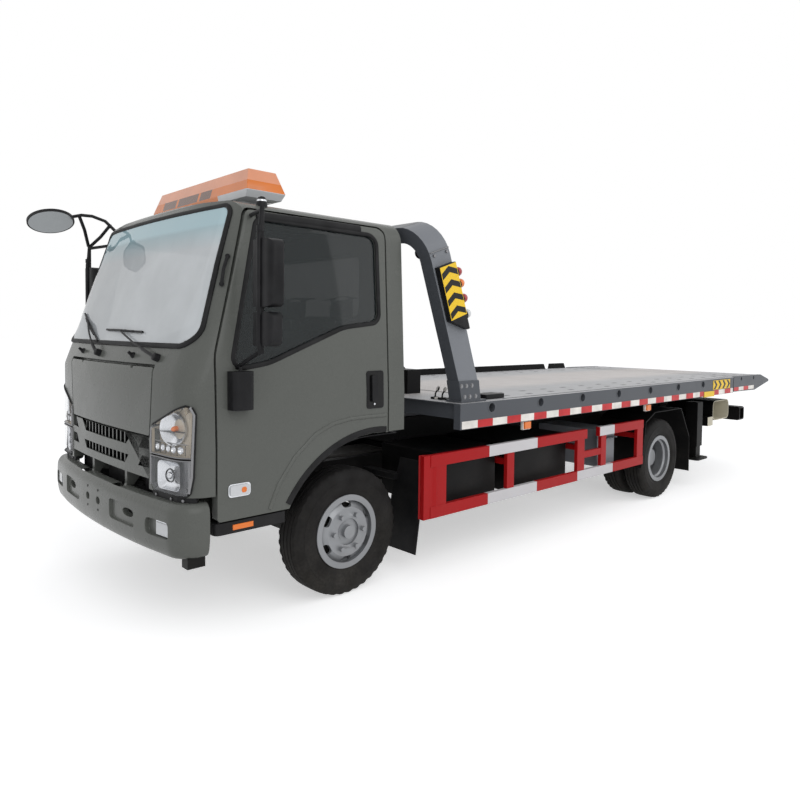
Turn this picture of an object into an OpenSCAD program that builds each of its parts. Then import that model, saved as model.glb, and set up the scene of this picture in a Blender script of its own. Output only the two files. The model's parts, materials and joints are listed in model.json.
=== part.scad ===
/* [Wheels] */
// Distance between the front and rear axles
wheelbase = 3815; // [3600:5:4100]
// Outside diameter of a tyre
tyre_d = 786; // [760:2:820]
// Width of a tyre
tyre_w = 206; // [190:2:220]
// Diameter of the rim's bead seat
rim_d = 406; // [390:2:420]
// Width of the rim between its flanges
rim_w = 158; // [140:2:165]
// Distance between the middles of the front tyres
front_track = 1660; // [1600:5:1700]
// Distance between the middles of the rear wheel pairs
rear_track = 1650; // [1620:5:1700]
// Distance between the two tyres of a rear pair
twin_spacing = 250; // [236:2:270]
// Diameter of the front wheel spindle
front_spindle_d = 60; // [50:1:70]
// Diameter of the rear wheel spindle
rear_spindle_d = 90; // [80:1:100]
// Number of wheel studs
stud_count = 6; // [5:1:8]
// Distance between the two steering king pins
kingpin_spread = 1440; // [1400:5:1480]
// Diameter of a steering king pin
kingpin_d = 34; // [28:1:40]
// Length of the steering arms behind the king pins
steer_arm = 150; // [120:5:180]

/* [Chassis] */
// Width over the frame rails
frame_w = 750; // [700:5:800]
// Height of a frame rail
rail_h = 200; // [160:5:220]
// Width of a rail's flanges
rail_flange = 65; // [50:1:80]
// Plate thickness of the rails
rail_t = 7; // [5:0.5:10]
// Height of the rails' lower faces above the ground
rail_z = 520; // [500:5:560]
// Front end of the rails, ahead of the front axle
rail_front = 960; // [900:5:1000]
// Rear end of the rails, behind the front axle
rail_rear = 5030; // [4900:5:5100]
// Height of the subframe beams on the rails
subframe_h = 55; // [40:1:70]

/* [Cab] */
// Width of the cab over its doors
cab_w = 2000; // [1900:5:2100]
// Nose of the cab, ahead of the front axle
cab_nose = 1120; // [1080:5:1140]
// Back wall of the cab, behind the front axle
cab_back = 388; // [360:2:400]
// Height of the roof's crown
roof_z = 2375; // [2300:5:2450]
// Height of the roof edges over the doors
eave_z = 2318; // [2250:2:2340]
// Thickness of the cab's walls and doors
wall = 60; // [50:1:70]
// Lower edge of the cab's front
cab_front_z = 775; // [770:1:800]
// Lower edge of the cab's back
cab_back_z = 1000; // [980:1:1020]
// Height where the windscreen's slope starts
cowl_z = 1410; // [1390:1:1440]
// Slope of the windscreen from upright
screen_lean = 19.6; // [16:0.1:24]
// Width of the gap round the doors and the lid
door_gap = 11; // [10:0.5:14]
// Lower edge of the doors
door_z = 635; // [620:1:660]
// Front edge of the doors, ahead of the front axle
door_front = 905; // [895:1:915]
// Rear edge of the doors, behind the front axle
door_rear = 248; // [240:1:256]
// Top edge of the doors
door_top = 2275; // [2260:1:2285]
// Radius of the front wheel arch
arch_r = 729; // [700:1:750]
// Height of the wheel arch's centre
arch_z = 272; // [250:1:290]
// Wheel arch's centre, behind the front axle
arch_back = 156; // [140:1:170]
// Thickness of the window glass
glass_t = 6; // [4:0.5:8]
// Tilting axis of the cab, ahead of the front axle
cab_pivot_x = 1085; // [1080:1:1090]
// Height of the tilting axis of the cab
cab_pivot_z = 705; // [702:1:708]

/* [Cab front] */
// Half width of the service lid
lid_half_w = 650; // [600:5:680]
// Half width of the lid's foot and of the grille under it
lid_foot_w = 612; // [580:2:640]
// Lower edge of the service lid
lid_z = 1060; // [1040:1:1100]
// Upper edge of the service lid
lid_top = 1425; // [1415:1:1430]
// Thickness of the lid and the grille panel
lid_t = 28; // [22:1:34]
// Front of the bumper, ahead of the front axle
bumper_nose = 1185; // [1170:1:1195]
// Rear ends of the bumper, ahead of the front axle
bumper_end = 941; // [930:1:950]
// Upper edge of the bumper's ledge
bumper_top = 748; // [740:1:750]
// Lower edge of the bumper
bumper_z = 462; // [440:1:480]
// Thickness of the bumper
bumper_t = 45; // [40:1:50]

/* [Mirrors] */
// Distance of the mirror stays from the middle
mirror_y = 1235; // [1220:1:1250]
// Diameter of the mirror stay's tube
mirror_tube_d = 22; // [18:1:26]

/* [Bed] */
// Width of the bed
bed_w = 2300; // [2200:5:2350]
// Front edge of the bed, behind the front axle
bed_front = 760; // [740:1:800]
// Rear end of the bed's side beams, behind the front axle
bed_rear = 5335; // [5300:1:5360]
// Rear tip of the bed's tail, behind the front axle
tail_tip = 6440; // [6400:1:6480]
// Lower face of the bed's beams
bed_z = 975; // [970:0.5:985]
// Height of the bed's side beams
bed_h = 175; // [160:1:190]
// Thickness of the deck plate
deck_t = 8; // [6:0.5:12]
// Width of the bed's side beams
beam_w = 60; // [50:1:70]
// Diameter of the lashing holes in the side beams
lash_d = 70; // [50:1:80]
// Spacing of the lashing holes
lash_pitch = 575; // [560:1:590]
// Number of lashing holes on each side
lash_count = 7; // [4:1:7]
// First lashing hole, behind the front axle
lash_first = 1085; // [1000:1:1100]
// Tilting axis of the bed, behind the front axle
tilt_x = 5200; // [5190:1:5210]
// Height of the bed's tilting axis
tilt_z = 870; // [860:1:880]

/* [Hoop] */
// Height of the hoop above the deck
hoop_h = 1190; // [1150:5:1220]
// Forward lean of the hoop
hoop_lean = 19; // [17:0.1:20]
// Width of the hoop's legs along the truck
hoop_depth = 185; // [160:1:200]
// Thickness of the hoop's legs across the truck
hoop_t = 105; // [90:1:120]
// Outside width of the hoop
hoop_w = 2210; // [2180:5:2230]

/* [Side guards] */
// Half width over the side guards
guard_y = 1105; // [1080:5:1120]
// Lower edge of the side guards
guard_z = 407; // [395:1:420]
// Upper edge of the side guards
guard_top = 825; // [810:1:840]
// Height of a guard rail
guard_rail_h = 78; // [70:1:90]

/* [Rear] */
// Length of the wheel-lift boom
boom_len = 1100; // [1080:5:1110]
// Half length of the wheel-lift cross bar
bar_half = 1000; // [950:5:1020]
// Centre of the outriggers, behind the front axle
outrigger_x = 4700; // [4690:1:4710]
// Half distance between the outriggers
outrigger_y = 990; // [970:1:1000]
// Height of an outrigger foot above the ground
foot_z = 278; // [276:1:300]

/* [Hidden] */
$fn = 48;

// Clearances: seat of pieces on one body, rest gap between bodies, running fit of pins, sliding fit of tubes
seat_gap = 0.2;
rest_gap = 0.3;
run_fit = 0.05;
slide_fit = 0.5;
pin_end = 2;

// Front axle's place: the origin lies under the middle of the truck's length
front_reach = 1195;
front_axle_x = (tail_tip - front_reach) / 2;
wheel_z = tyre_d / 2;
rail_top = rail_z + rail_h;
subframe_top = rail_top + subframe_h;
deck_z = bed_z + bed_h;
bed_slide_y = 340;
frame_half = frame_w / 2;

// Colours as the photograph shows them
cab_paint = [0.36, 0.37, 0.35];
bed_paint = [0.42, 0.43, 0.44];
black_paint = [0.07, 0.07, 0.07];
rubber = [0.05, 0.05, 0.05];
wheel_silver = [0.72, 0.73, 0.75];
guard_red = [0.75, 0.1, 0.12];
amber = [0.95, 0.5, 0.05];
clear_lens = [0.85, 0.88, 0.9];
dark_glass = [0.15, 0.2, 0.2];
engine_grey = [0.3, 0.3, 0.32];
trim_grey = [0.2, 0.2, 0.21];

// Helpers: drawn at the truck's own place, on one side, about a wheel's axle
module in_frame() {
    translate([front_axle_x, 0, 0]) children();
}

module on_side(s) {
    mirror([0, s < 0 ? 1 : 0, 0]) children();
}

module both_sides() {
    for (s = [1, -1]) on_side(s) children();
}

// Local z becomes +Y, outwards on the left side
module about_axle() {
    rotate([-90, 0, 0]) children();
}

// A side view (x, z) drawn between two distances from the middle
module side_profile(y0, y1) {
    translate([0, y1, 0]) rotate([90, 0, 0]) linear_extrude(y1 - y0) children();
}

// A front view (y, z) drawn between two places along the truck
module front_profile(x0, x1) {
    translate([x0, 0, 0]) rotate([90, 0, 90]) linear_extrude(x1 - x0) children();
}

module box(x0, x1, y0, y1, z0, z1) {
    translate([x0, y0, z0]) cube([x1 - x0, y1 - y0, z1 - z0]);
}

function unit(v) = v / norm(v);
function flat(v) = [v.x, v.y];
function turn(a) = a > 180 ? a - 360 : a < -180 ? a + 360 : a;
function along(a0, a1, i, n) = a0 + (a1 - a0) * i / n;
function arc(c, r, a0, a1, n) =
    [for (i = [0:n]) c + r * [cos(along(a0, a1, i, n)), sin(along(a0, a1, i, n))]];
function corner(p, q, s, n) =
    let (u = unit(flat(p) - flat(q)), v = unit(flat(s) - flat(q)), half = acos(u * v) / 2)
    let (c = flat(q) + unit(u + v) * q.z / sin(half))
    let (from = flat(q) + u * q.z / tan(half) - c, to = flat(q) + v * q.z / tan(half) - c)
    let (a = atan2(from.y, from.x), sweep = turn(atan2(to.y, to.x) - a))
    arc(c, q.z, a, a + sweep, n);
// Outline of corners [x, y, radius] with each corner rounded in n steps
function rounded(pts, n = 6) = [for (i = [0:len(pts) - 1])
    each pts[i].z == 0 ? [flat(pts[i])]
        : corner(pts[(i + len(pts) - 1) % len(pts)], pts[i], pts[(i + 1) % len(pts)], n)];

// Wheels: the rim and the disc turn about the axle, z = 0 in the middle of the rim
rim_wall = 12;
rim_flange = 24;
rim_lip = 9;
rim_well = 14;
well_edge = 25;
disc_t = 14;
disc_r = 150;
disc_dip = 34;
stud_r = 111;
stud_d = 30;
stud_h = 26;
hand_r = 170;
hand_d = 38;
hand_len = 30;
hub_r = 62;
hub_open_r = 82;
hub_len = 120;
hub_dip = 12;
flange_r = 135;
flange_t = 16;
cap_r = 40;
cap_h = 30;
rear_hub_r = 80;
rear_hub_out = 70;
front_disc_out = 92;

module tyre_ring() {
    half = tyre_w / 2;
    seat = rim_d / 2 + seat_gap;
    bead = rim_w / 2 - seat_gap;
    rotate_extrude() polygon(rounded([
        [seat, -bead, 0], [seat + rim_flange + 12, -bead, 10], [tyre_d / 2 - 85, -half, 60],
        [tyre_d / 2 - 4, -half + 14, 18], [tyre_d / 2, 0, 600], [tyre_d / 2 - 4, half - 14, 18],
        [tyre_d / 2 - 85, half, 60], [seat + rim_flange + 12, bead, 10], [seat, bead, 0]], 4));
}

module rim_barrel() {
    r = rim_d / 2;
    bore = r - rim_wall;
    half = rim_w / 2;
    end = half + rim_lip;
    rotate_extrude() polygon([
        [bore, -end], [r + rim_flange, -end], [r + rim_flange, -half], [r, -half],
        [r, half], [r + rim_flange, half], [r + rim_flange, end], [bore, end],
        [bore, half - well_edge], [bore - rim_well, half - well_edge - rim_well],
        [bore - rim_well, -half + well_edge + rim_well], [bore, -half + well_edge]]);
}

// Long hand hole across the disc's cone
module hand_hole(z) {
    for (t = [-1, 1]) translate([hand_r, t * hand_len / 2, z]) cylinder(d = hand_d, h = 4 * disc_dip);
    translate([hand_r - hand_d / 2, -hand_len / 2, z]) cube([hand_d, hand_len, 4 * disc_dip]);
}

// Dished disc from the rim to the mounting face, whose outer side is at the given height
module wheel_disc(face, open_r) {
    edge = rim_d / 2 - rim_wall + 2;
    dip = face > 0 ? -disc_dip : disc_dip;
    difference() {
        rotate_extrude() polygon([
            [open_r, face - disc_t], [disc_r - disc_t, face - disc_t], [edge, face - disc_t + dip],
            [edge, face + dip], [disc_r, face], [open_r, face]]);
        for (i = [0:stud_count - 1]) rotate((i + 0.5) * 360 / stud_count)
            hand_hole(face + dip - 2 * disc_dip);
    }
}

module wheel_studs(z) {
    for (i = [0:stud_count - 1]) rotate(i * 360 / stud_count) translate([stud_r, 0, z])
        cylinder(d = stud_d, h = stud_h, $fn = 6);
}

// Front wheel: convex disc open round the hub, which is bored for the spindle from behind
module front_wheel() {
    face = front_disc_out;
    difference() {
        union() {
            rim_barrel();
            wheel_disc(face, hub_open_r);
            translate([0, 0, face - hub_len]) cylinder(r = hub_r, h = hub_len - hub_dip);
            translate([0, 0, face - disc_t - flange_t]) cylinder(r = flange_r, h = flange_t);
            translate([0, 0, face - hub_dip - 1]) cylinder(r = cap_r, h = cap_h);
            wheel_studs(face - 1);
        }
        translate([0, 0, face - hub_len - 1]) cylinder(d = front_spindle_d + 2 * run_fit, h = hub_len + 1);
    }
}

// Rear pair: two rims back to back on one hub
module rear_wheels() {
    z = twin_spacing / 2;
    difference() {
        union() {
            for (t = [1, -1]) translate([0, 0, t * z]) rim_barrel();
            translate([0, 0, z]) wheel_disc(-z + disc_t, 0);
            translate([0, 0, -z]) wheel_disc(z, 0);
            translate([0, 0, -hub_len / 2]) cylinder(r = rear_hub_r, h = hub_len + rear_hub_out);
            wheel_studs(disc_t - 1);
        }
        translate([0, 0, -hub_len / 2 - 1]) cylinder(d = rear_spindle_d + 2 * run_fit, h = hub_len + 31);
    }
}

module front_hub_place(s) {
    on_side(s) translate([0, front_track / 2, wheel_z]) about_axle() children();
}

module rear_hub_place(s) {
    on_side(s) translate([-wheelbase, rear_track / 2, wheel_z]) about_axle() children();
}

module front_wheel_at(s) {
    color(wheel_silver) front_hub_place(s) front_wheel();
}

module front_tyre_at(s) {
    color(rubber) front_hub_place(s) tyre_ring();
}

module rear_wheels_at(s) {
    color(wheel_silver) rear_hub_place(s) rear_wheels();
}

module rear_tyres_at(s) {
    color(rubber) rear_hub_place(s) for (t = [1, -1]) translate([0, 0, t * twin_spacing / 2]) tyre_ring();
}

// Front axle and steering
boss_h = 90;
boss_r = 38;
lug_h = 30;
lug_r = 40;
beam_top = wheel_z - 58;
beam_h = 70;
beam_x = 45;
kingpin_y = kingpin_spread / 2;
arm_z = wheel_z - boss_h / 2 - pin_end - lug_h;
axle_end_x = 26;
stud_pin_d = 16;
tie_d = 30;

module front_axle() {
    color(black_paint) {
        box(-beam_x, beam_x, -kingpin_y + 110, kingpin_y - 110, beam_top - beam_h, beam_top);
        both_sides() {
            front_profile(-axle_end_x, axle_end_x) polygon([
                [kingpin_y - 112, beam_top - beam_h], [kingpin_y - lug_r - 20, beam_top - beam_h],
                [kingpin_y - lug_r - 10, beam_top - beam_h / 2], [kingpin_y - lug_r - 10,
                    wheel_z - boss_h / 2],
                [kingpin_y, wheel_z - boss_h / 2], [kingpin_y, wheel_z + boss_h / 2],
                [kingpin_y - 60, wheel_z + boss_h / 2], [kingpin_y - 112, beam_top]]);
            translate([0, kingpin_y, wheel_z - boss_h / 2]) cylinder(r = boss_r, h = boss_h);
            translate([0, kingpin_y, arm_z]) cylinder(d = kingpin_d, h = boss_h + 2 * (pin_end + lug_h));
        }
    }
}

// Knuckle: two lugs on the king pin, the web outside them, the wheel's spindle and the steering arm
module knuckle(s) {
    upper_z = wheel_z + boss_h / 2 + pin_end;
    web_y = kingpin_y + boss_r + 8;
    spindle_end = front_track / 2 + front_disc_out - pin_end;
    color(black_paint) on_side(s) difference() {
        union() {
            for (z = [arm_z, upper_z]) {
                translate([0, kingpin_y, z]) cylinder(r = lug_r, h = lug_h);
                box(-lug_r + 4, lug_r - 4, kingpin_y, web_y + 20, z, z + lug_h);
            }
            box(-lug_r + 4, lug_r - 4, web_y, web_y + 24, arm_z, upper_z + lug_h);
            translate([0, web_y, wheel_z]) about_axle() cylinder(d = front_spindle_d,
                h = spindle_end - web_y);
            linear_along_arm();
            translate([-steer_arm, kingpin_y, arm_z - 30]) cylinder(d = stud_pin_d, h = 30 + lug_h / 2);
        }
        translate([0, kingpin_y, arm_z - 1])
            cylinder(d = kingpin_d + 2 * run_fit, h = upper_z + lug_h - arm_z + 2);
    }
}

module linear_along_arm() {
    translate([0, 0, arm_z]) linear_extrude(lug_h - 8) polygon([
        [-lug_r + 10, kingpin_y - 14], [-steer_arm - 20, kingpin_y - 15],
        [-steer_arm - 20, kingpin_y + 15], [-lug_r + 10, kingpin_y + 14]]);
}

// Tie rod: an eye with a running fit on the left stud, a wider one on the right stud
module tie_rod() {
    y = kingpin_y;
    z = arm_z - 27;
    color(black_paint) translate([-steer_arm, 0, z]) difference() {
        union() {
            for (s = [1, -1]) translate([0, s * y, 0]) cylinder(d = 44, h = 24);
            translate([0, -y + 16, 12]) about_axle() cylinder(d = tie_d, h = 2 * y - 32);
        }
        translate([0, y, -1]) cylinder(d = stud_pin_d + 2 * run_fit, h = 26);
        translate([0, -y, -1]) cylinder(d = stud_pin_d + 2, h = 26);
    }
}

// Rear axle with its differential
axle_tube_r = 56;
diff_r = 150;
pinion_x = 260;
axle_pad = 20;
front_spring_y = 345;
rear_spring_y = 455;

module rear_axle() {
    stub = rear_track / 2 - hub_len / 2 - 30;
    tip = rear_track / 2 + hub_len / 2 + 26;
    color(black_paint) translate([-wheelbase, 0, wheel_z]) {
        translate([0, -stub, 0]) about_axle() cylinder(r = axle_tube_r, h = 2 * stub);
        translate([0, -tip, 0]) about_axle() cylinder(d = rear_spindle_d, h = 2 * tip);
        sphere(r = diff_r);
        rotate([0, 90, 0]) cylinder(r = 55, h = pinion_x);
        both_sides() box(-70, 70, rear_spring_y - 40, rear_spring_y + 40, 0, axle_tube_r + axle_pad);
    }
}

// Leaf springs: arcs of falling length, a seat block on the axle and hangers under the rails
spring_w = 70;
leaf_t = 14;

// Springs: place, distance from the middle, half length, sag, seat height
springs = [
    [0, front_spring_y, 600, 105, beam_top],
    [-wheelbase, rear_spring_y, 640, 90, wheel_z + axle_tube_r + axle_pad]
];

module spring_pack(half_len, sag) {
    r = (half_len * half_len + sag * sag) / (2 * sag);
    for (i = [0:3]) {
        half_angle = asin(half_len / r) * (1 - 0.22 * (3 - i));
        z = 20 + i * leaf_t;
        polygon(concat(
            arc([0, r + z], r, -90 - half_angle, -90 + half_angle, 8),
            arc([0, r + z], r - leaf_t - 0.5, -90 + half_angle, -90 - half_angle, 8)));
    }
    translate([-70, 0]) square([140, 26 + 4 * leaf_t]);
}

module leaf_springs() {
    color(black_paint) for (p = springs) both_sides() translate([p[0], 0, 0]) {
        eye_z = p[4] + 20 + 3 * leaf_t + p[3];
        translate([0, 0, p[4]]) side_profile(p[1] - spring_w / 2, p[1] + spring_w / 2) spring_pack(p[2],
            p[3]);
        for (e = [1, -1]) {
            if (p[1] < frame_half)
                side_profile(p[1] - spring_w / 2, p[1] + spring_w / 2) polygon([
                    [e * (p[2] - 45), eye_z - 22], [e * (p[2] + 12), eye_z - 14],
                    [e * (p[2] + 35), rail_z], [e * (p[2] - 60), rail_z]]);
            else
                box(e * p[2] - 40, e * p[2] + 30, frame_half, p[1] + spring_w / 2, eye_z - 24, eye_z + 30);
        }
    }
}

// Chassis frame: two channels, cross members, subframe beams with the tilt ears, cab pivot brackets
// Cross members, behind the front axle
cross_members = [-900, 1080, 2050, 3440, 4300, 4640];
ear_t = 30;
tilt_pin_d = 50;
tilt_ear_y = 386;
cab_pin_d = 36;
cab_ear_y = 250;

module rail_channel() {
    difference() {
        box(-rail_rear, rail_front, frame_half - rail_flange, frame_half, rail_z, rail_top);
        box(-rail_rear - 1, rail_front + 1, frame_half - rail_flange - 1, frame_half - rail_t,
            rail_z + rail_t, rail_top - rail_t);
    }
}

module chassis_frame() {
    color(black_paint) {
        both_sides() {
            rail_channel();
            box(-tilt_x + 50, -bed_front - 140, frame_half - rail_flange, frame_half, rail_top, subframe_top);
            tilt_ear();
            cab_bracket();
        }
        for (x = cross_members) box(-x - 35, -x + 35, -frame_half + rail_t, frame_half - rail_t,
            rail_z + rail_t, rail_top - rail_t);
        cylinder_anchor();
    }
}

// Ear outside the tilt frame with its inward pin
module tilt_ear() {
    side_profile(tilt_ear_y, tilt_ear_y + ear_t) polygon(rounded([
        [-rail_rear + 20, rail_z + 60, 0], [-rail_rear + 330, rail_z + 60, 0], [-tilt_x + 190, rail_top, 20],
        [-tilt_x + 60, tilt_z + 62, 60], [-tilt_x - 62, tilt_z + 62, 60], [-tilt_x - 62, tilt_z - 70, 30],
        [-rail_rear + 10, rail_top - 10, 0]], 5));
    box(-rail_rear + 40, -rail_rear + 300, frame_half - 5, tilt_ear_y + 2, rail_z + 70, rail_top - 10);
    translate([-tilt_x, bed_slide_y - 30, tilt_z]) about_axle()
        cylinder(d = tilt_pin_d, h = tilt_ear_y - bed_slide_y + 32);
}

module cab_bracket() {
    side_profile(cab_ear_y + 40, cab_ear_y + 70) polygon(rounded([
        [rail_front - 200, rail_z + 20, 0], [rail_front + 40, rail_z + 20, 20], [cab_pivot_x + 34,
            cab_pivot_z - 30, 20],
        [cab_pivot_x + 34, cab_pivot_z + 32, 30], [cab_pivot_x - 34, cab_pivot_z + 32, 30],
        [rail_front - 120, rail_top - 20, 30], [rail_front - 200, rail_top - 20, 0]], 4));
    translate([cab_pivot_x, cab_ear_y, cab_pivot_z]) about_axle() cylinder(d = cab_pin_d, h = 60);
    box(rail_front - 190, rail_front - 20, cab_ear_y + 60, frame_half - rail_t, rail_z + 40, rail_top - 40);
}

// Tilt cylinders: pinned to the frame behind, pushing the tilt frame up in front
ram_y = 190;
ram_base_x = 3350;
ram_base_z = 615;
ram_eye_x = 2300;
ram_eye_z = 850;
ram_pin_d = 40;
ram_d = 110;
ram_rod_d = 60;
ram_neck = 62;
ram_base_len = 85;
ram_len = norm([ram_base_x - ram_eye_x, ram_eye_z - ram_base_z]);
ram_angle = atan2(ram_eye_z - ram_base_z, ram_base_x - ram_eye_x);
ram_barrel_len = ram_len - 150;

module cylinder_anchor() {
    both_sides() for (y = [ram_y - 62, ram_y + 38]) box(-ram_base_x - 70, -ram_base_x + 36, y, y + 24,
        rail_z + 30, ram_base_z + 40);
    translate([-ram_base_x, -ram_y - 62, ram_base_z]) about_axle() cylinder(d = ram_pin_d,
        h = 2 * ram_y + 124);
}

module along_ram() {
    both_sides() translate([-ram_base_x, ram_y, ram_base_z]) rotate([0, 90 - ram_angle, 0]) children();
}

module tilt_barrels() {
    color(black_paint) along_ram() difference() {
        union() {
            translate([0, -30, 0]) about_axle() cylinder(r = 42, h = 60);
            translate([0, 0, 20]) cylinder(d = 58, h = ram_neck);
            translate([0, 0, ram_neck]) cylinder(d = ram_d, h = ram_barrel_len - ram_neck);
        }
        translate([0, -31, 0]) about_axle() cylinder(d = ram_pin_d + 2 * run_fit, h = 62);
        translate([0, 0, ram_base_len]) cylinder(d = ram_rod_d + 2 * run_fit, h = ram_barrel_len);
    }
}

module tilt_rods() {
    color([0.8, 0.8, 0.82]) along_ram() difference() {
        union() {
            translate([0, 0, ram_base_len + 20]) cylinder(d = ram_rod_d, h = ram_len - ram_base_len - 40);
            translate([0, -26, ram_len]) about_axle() cylinder(r = 42, h = 52);
        }
        translate([0, -27, ram_len]) about_axle() cylinder(d = ram_pin_d, h = 54);
    }
}

// Engine and gearbox as one block between the rails, with mounts and the propeller shaft
shaft_z = wheel_z;

module powertrain() {
    color(engine_grey) {
        box(-330, 420, -230, 230, 480, 945);
        front_block_taper();
        box(-980, -320, -150, 150, 430, 700);
        both_sides() box(-60, 60, 220, frame_half - rail_t, 600, 660);
        translate([-wheelbase + pinion_x, 0, shaft_z]) rotate([0, 90, 0])
            cylinder(r = 45, h = wheelbase - pinion_x - 900);
        box(-1000, -860, -70, 70, shaft_z - 60, 500);
    }
}

module front_block_taper() {
    side_profile(-150, 150) polygon([[-330, 481], [-200, 347], [220, 347], [420, 481]]);
}

// Bumper: curved bands, one on the other, wrapped round the front
bumper_r = 6500;
bumper_corner = 150;
bumper_station = 330;

function bumper_plan(t) = [
    [0, -cab_w / 2 + t, 0], [bumper_nose - 77 - t, -cab_w / 2 + t, bumper_corner - t],
    each [for (k = [-2:2]) [nose_x(k * bumper_station, bumper_nose - t, bumper_r), k * bumper_station, 0]],
    [bumper_nose - 77 - t, cab_w / 2 - t, bumper_corner - t], [0, cab_w / 2 - t, 0]];

// Bands of the bumper: outer and inner distance behind its face, lower and upper edge
bumper_bands = [
    [30, bumper_t + 30, bumper_z, bumper_z + 38], [10, bumper_t + 15, bumper_z + 38, bumper_z + 83],
    [0, bumper_t, bumper_z + 83, bumper_top - 52], [12, bumper_t + 15, bumper_top - 52, bumper_top - 26],
    [42, bumper_t + 27, bumper_top - 26, bumper_top]];

module bumper_band(b) {
    difference() {
        translate([0, 0, b[2]]) linear_extrude(b[3] - b[2]) difference() {
            polygon(rounded(bumper_plan(b[0])));
            polygon(rounded(bumper_plan(b[1])));
        }
        box(-1, bumper_end, -cab_w, cab_w, b[2] - 1, b[3] + 1);
    }
}

// Pockets in the bumper's face: near and far edge from the middle, lower and upper edge, depth
bumper_pockets = [
    [250, 540, 570, 680, 16], [385, 530, 597, 668, 60], [660, 972, 552, 664, 18], [50, 120, 595, 652, 60]];
fog_window = [800, 958, 597, 655];
fog_depth = 30;
plate_hole_d = 14;
plate_hole_y = 80;
plate_hole_z = [572, 690];
ear_notch = [235, 330];

module bumper_pocket(k) {
    intersection() {
        bumper_band([-5, k[4], k[2], k[3]]);
        both_sides() box(bumper_end - 1, bumper_nose + 6, k[0], k[1], k[2] - 1, k[3] + 1);
    }
}

module front_bumper() {
    notch_x = bumper_nose - bumper_t + 5;
    color(cab_paint) {
        difference() {
            for (b = bumper_bands) bumper_band(b);
            for (k = bumper_pockets) bumper_pocket(k);
            bumper_pocket([each fog_window, fog_depth]);
            both_sides() {
                for (z = plate_hole_z) translate([bumper_end, plate_hole_y, z]) rotate([0, 90, 0])
                    cylinder(d = plate_hole_d, h = bumper_nose);
                box(notch_x - 80, notch_x, ear_notch[0], ear_notch[1], bumper_top - 52, bumper_top + 5);
            }
        }
        both_sides() box(rail_front, bumper_nose - bumper_t - 5, cab_ear_y + 75, frame_half - 5,
            rail_z + 10, rail_z + 90);
    }
}

// Lamps on the chassis: fog lamps in the bumper's pockets and tail lamps behind the stowage tubes
module chassis_lamps() {
    w = fog_window;
    color(clear_lens) intersection() {
        bumper_band([20, fog_depth, w[2] + seat_gap, w[3] - seat_gap]);
        both_sides() box(bumper_end, bumper_nose, w[0] + seat_gap, w[1] - seat_gap, w[2], w[3]);
    }
    color(guard_red) both_sides()
        box(-stow_rear - tail_lamp_t, -stow_rear, 540, 900, stow_z + 70, stow_z + 160);
}

// Rear beam: bar across the rails' ends with two open-ended stowage tubes on it
beam_low = 600;
beam_bar_h = 100;
stow_front = 5160;
stow_rear = 5600;
stow_z = 652;
stow_h = 224;
stow_wall = 10;
stow_r = 60;
tail_lamp_t = 45;

module stow_outline(t) {
    w = (stow_rear - stow_front) / 2 - t;
    h = stow_h / 2 - t;
    translate([-(stow_front + stow_rear) / 2, stow_z + stow_h / 2])
        polygon(rounded([[w, h, stow_r - t], [-w, h, stow_r - t], [-w, -h, stow_r - t], [w, -h,
            stow_r - t]], 4));
}

module rear_beam() {
    color(black_paint) {
        box(-stow_front - stow_wall / 2, -rail_rear, -1000, 1000, beam_low, beam_low + beam_bar_h);
        both_sides() side_profile(470, 1000) difference() {
            stow_outline(0);
            stow_outline(stow_wall);
        }
    }
}

// Side guards: two rails on posts, each post carried by an arm from the frame
guard_t = 35;
guard_front = 475;
guard_rear = 3355;
guard_gap = [2390, 2580];
// Posts of a guard: centre and width, behind the front axle
guard_posts = [[580, 210], [1369, 82], [2303, 106], [2658, 82], [3300, 110]];
guard_arms = [1369, 2303, 3300];

module guard_rail(x0, x1, z) {
    box(-x1, -x0, guard_y - guard_t, guard_y, z, z + guard_rail_h);
}

module side_guards() {
    color(guard_red) both_sides() {
        guard_rail(guard_front + 60, guard_rear, guard_z);
        guard_rail(guard_front + 60, guard_gap[0], guard_top - guard_rail_h);
        guard_rail(guard_gap[1], guard_rear, guard_top - guard_rail_h);
        for (p = guard_posts) box(-p[0] - p[1] / 2, -p[0] + p[1] / 2, guard_y - guard_t, guard_y - 4,
            guard_z, guard_top);
        box(-guard_gap[1] - 40, -guard_gap[0] + 40, guard_y - guard_t, guard_y - 6, 585, 640);
        for (x = guard_arms) box(-x - 25, -x + 25, frame_half, guard_y - guard_t + 2, 655, 700);
        guard_nose();
    }
}

// Front end of a guard, curved inwards
module guard_nose() {
    translate([0, 0, guard_z]) linear_extrude(guard_top - guard_z) polygon(concat(
        arc([-guard_front - 115, guard_y - 115], 115, 90, 0, 6), arc([-guard_front - 115, guard_y - 115],
            115 - guard_t, 0, 90, 6)));
}

// Boxes hung on the rails: side, front and rear ends behind the axle, outer face, lower and upper faces
side_boxes = [
    [1, 740, 1320, 1000, 430, 800], [1, 1440, 2240, 1000, 430, 800],
    [-1, 740, 1320, 1000, 440, 790], [-1, 1440, 2240, 960, 400, 770]
];

module tool_boxes() {
    color(black_paint) for (b = side_boxes) on_side(b[0]) translate([0, 0, b[4]]) linear_extrude(b[5] - b[4])
        polygon(rounded([[-b[2], frame_half, 0], [-b[1], frame_half, 0], [-b[1], b[3], 20], [-b[2], b[3],
            20]], 3));
}

// Control box of the hydraulics with its row of levers
control_levers = 5;

module control_box() {
    color(bed_paint) {
        box(-2990, -2700, frame_half, 1010, 450, 780);
        for (i = [0:control_levers - 1]) translate([-2745 - i * 50, 1008, 700]) about_axle()
            cylinder(d = 14, h = 55);
    }
}

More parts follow.
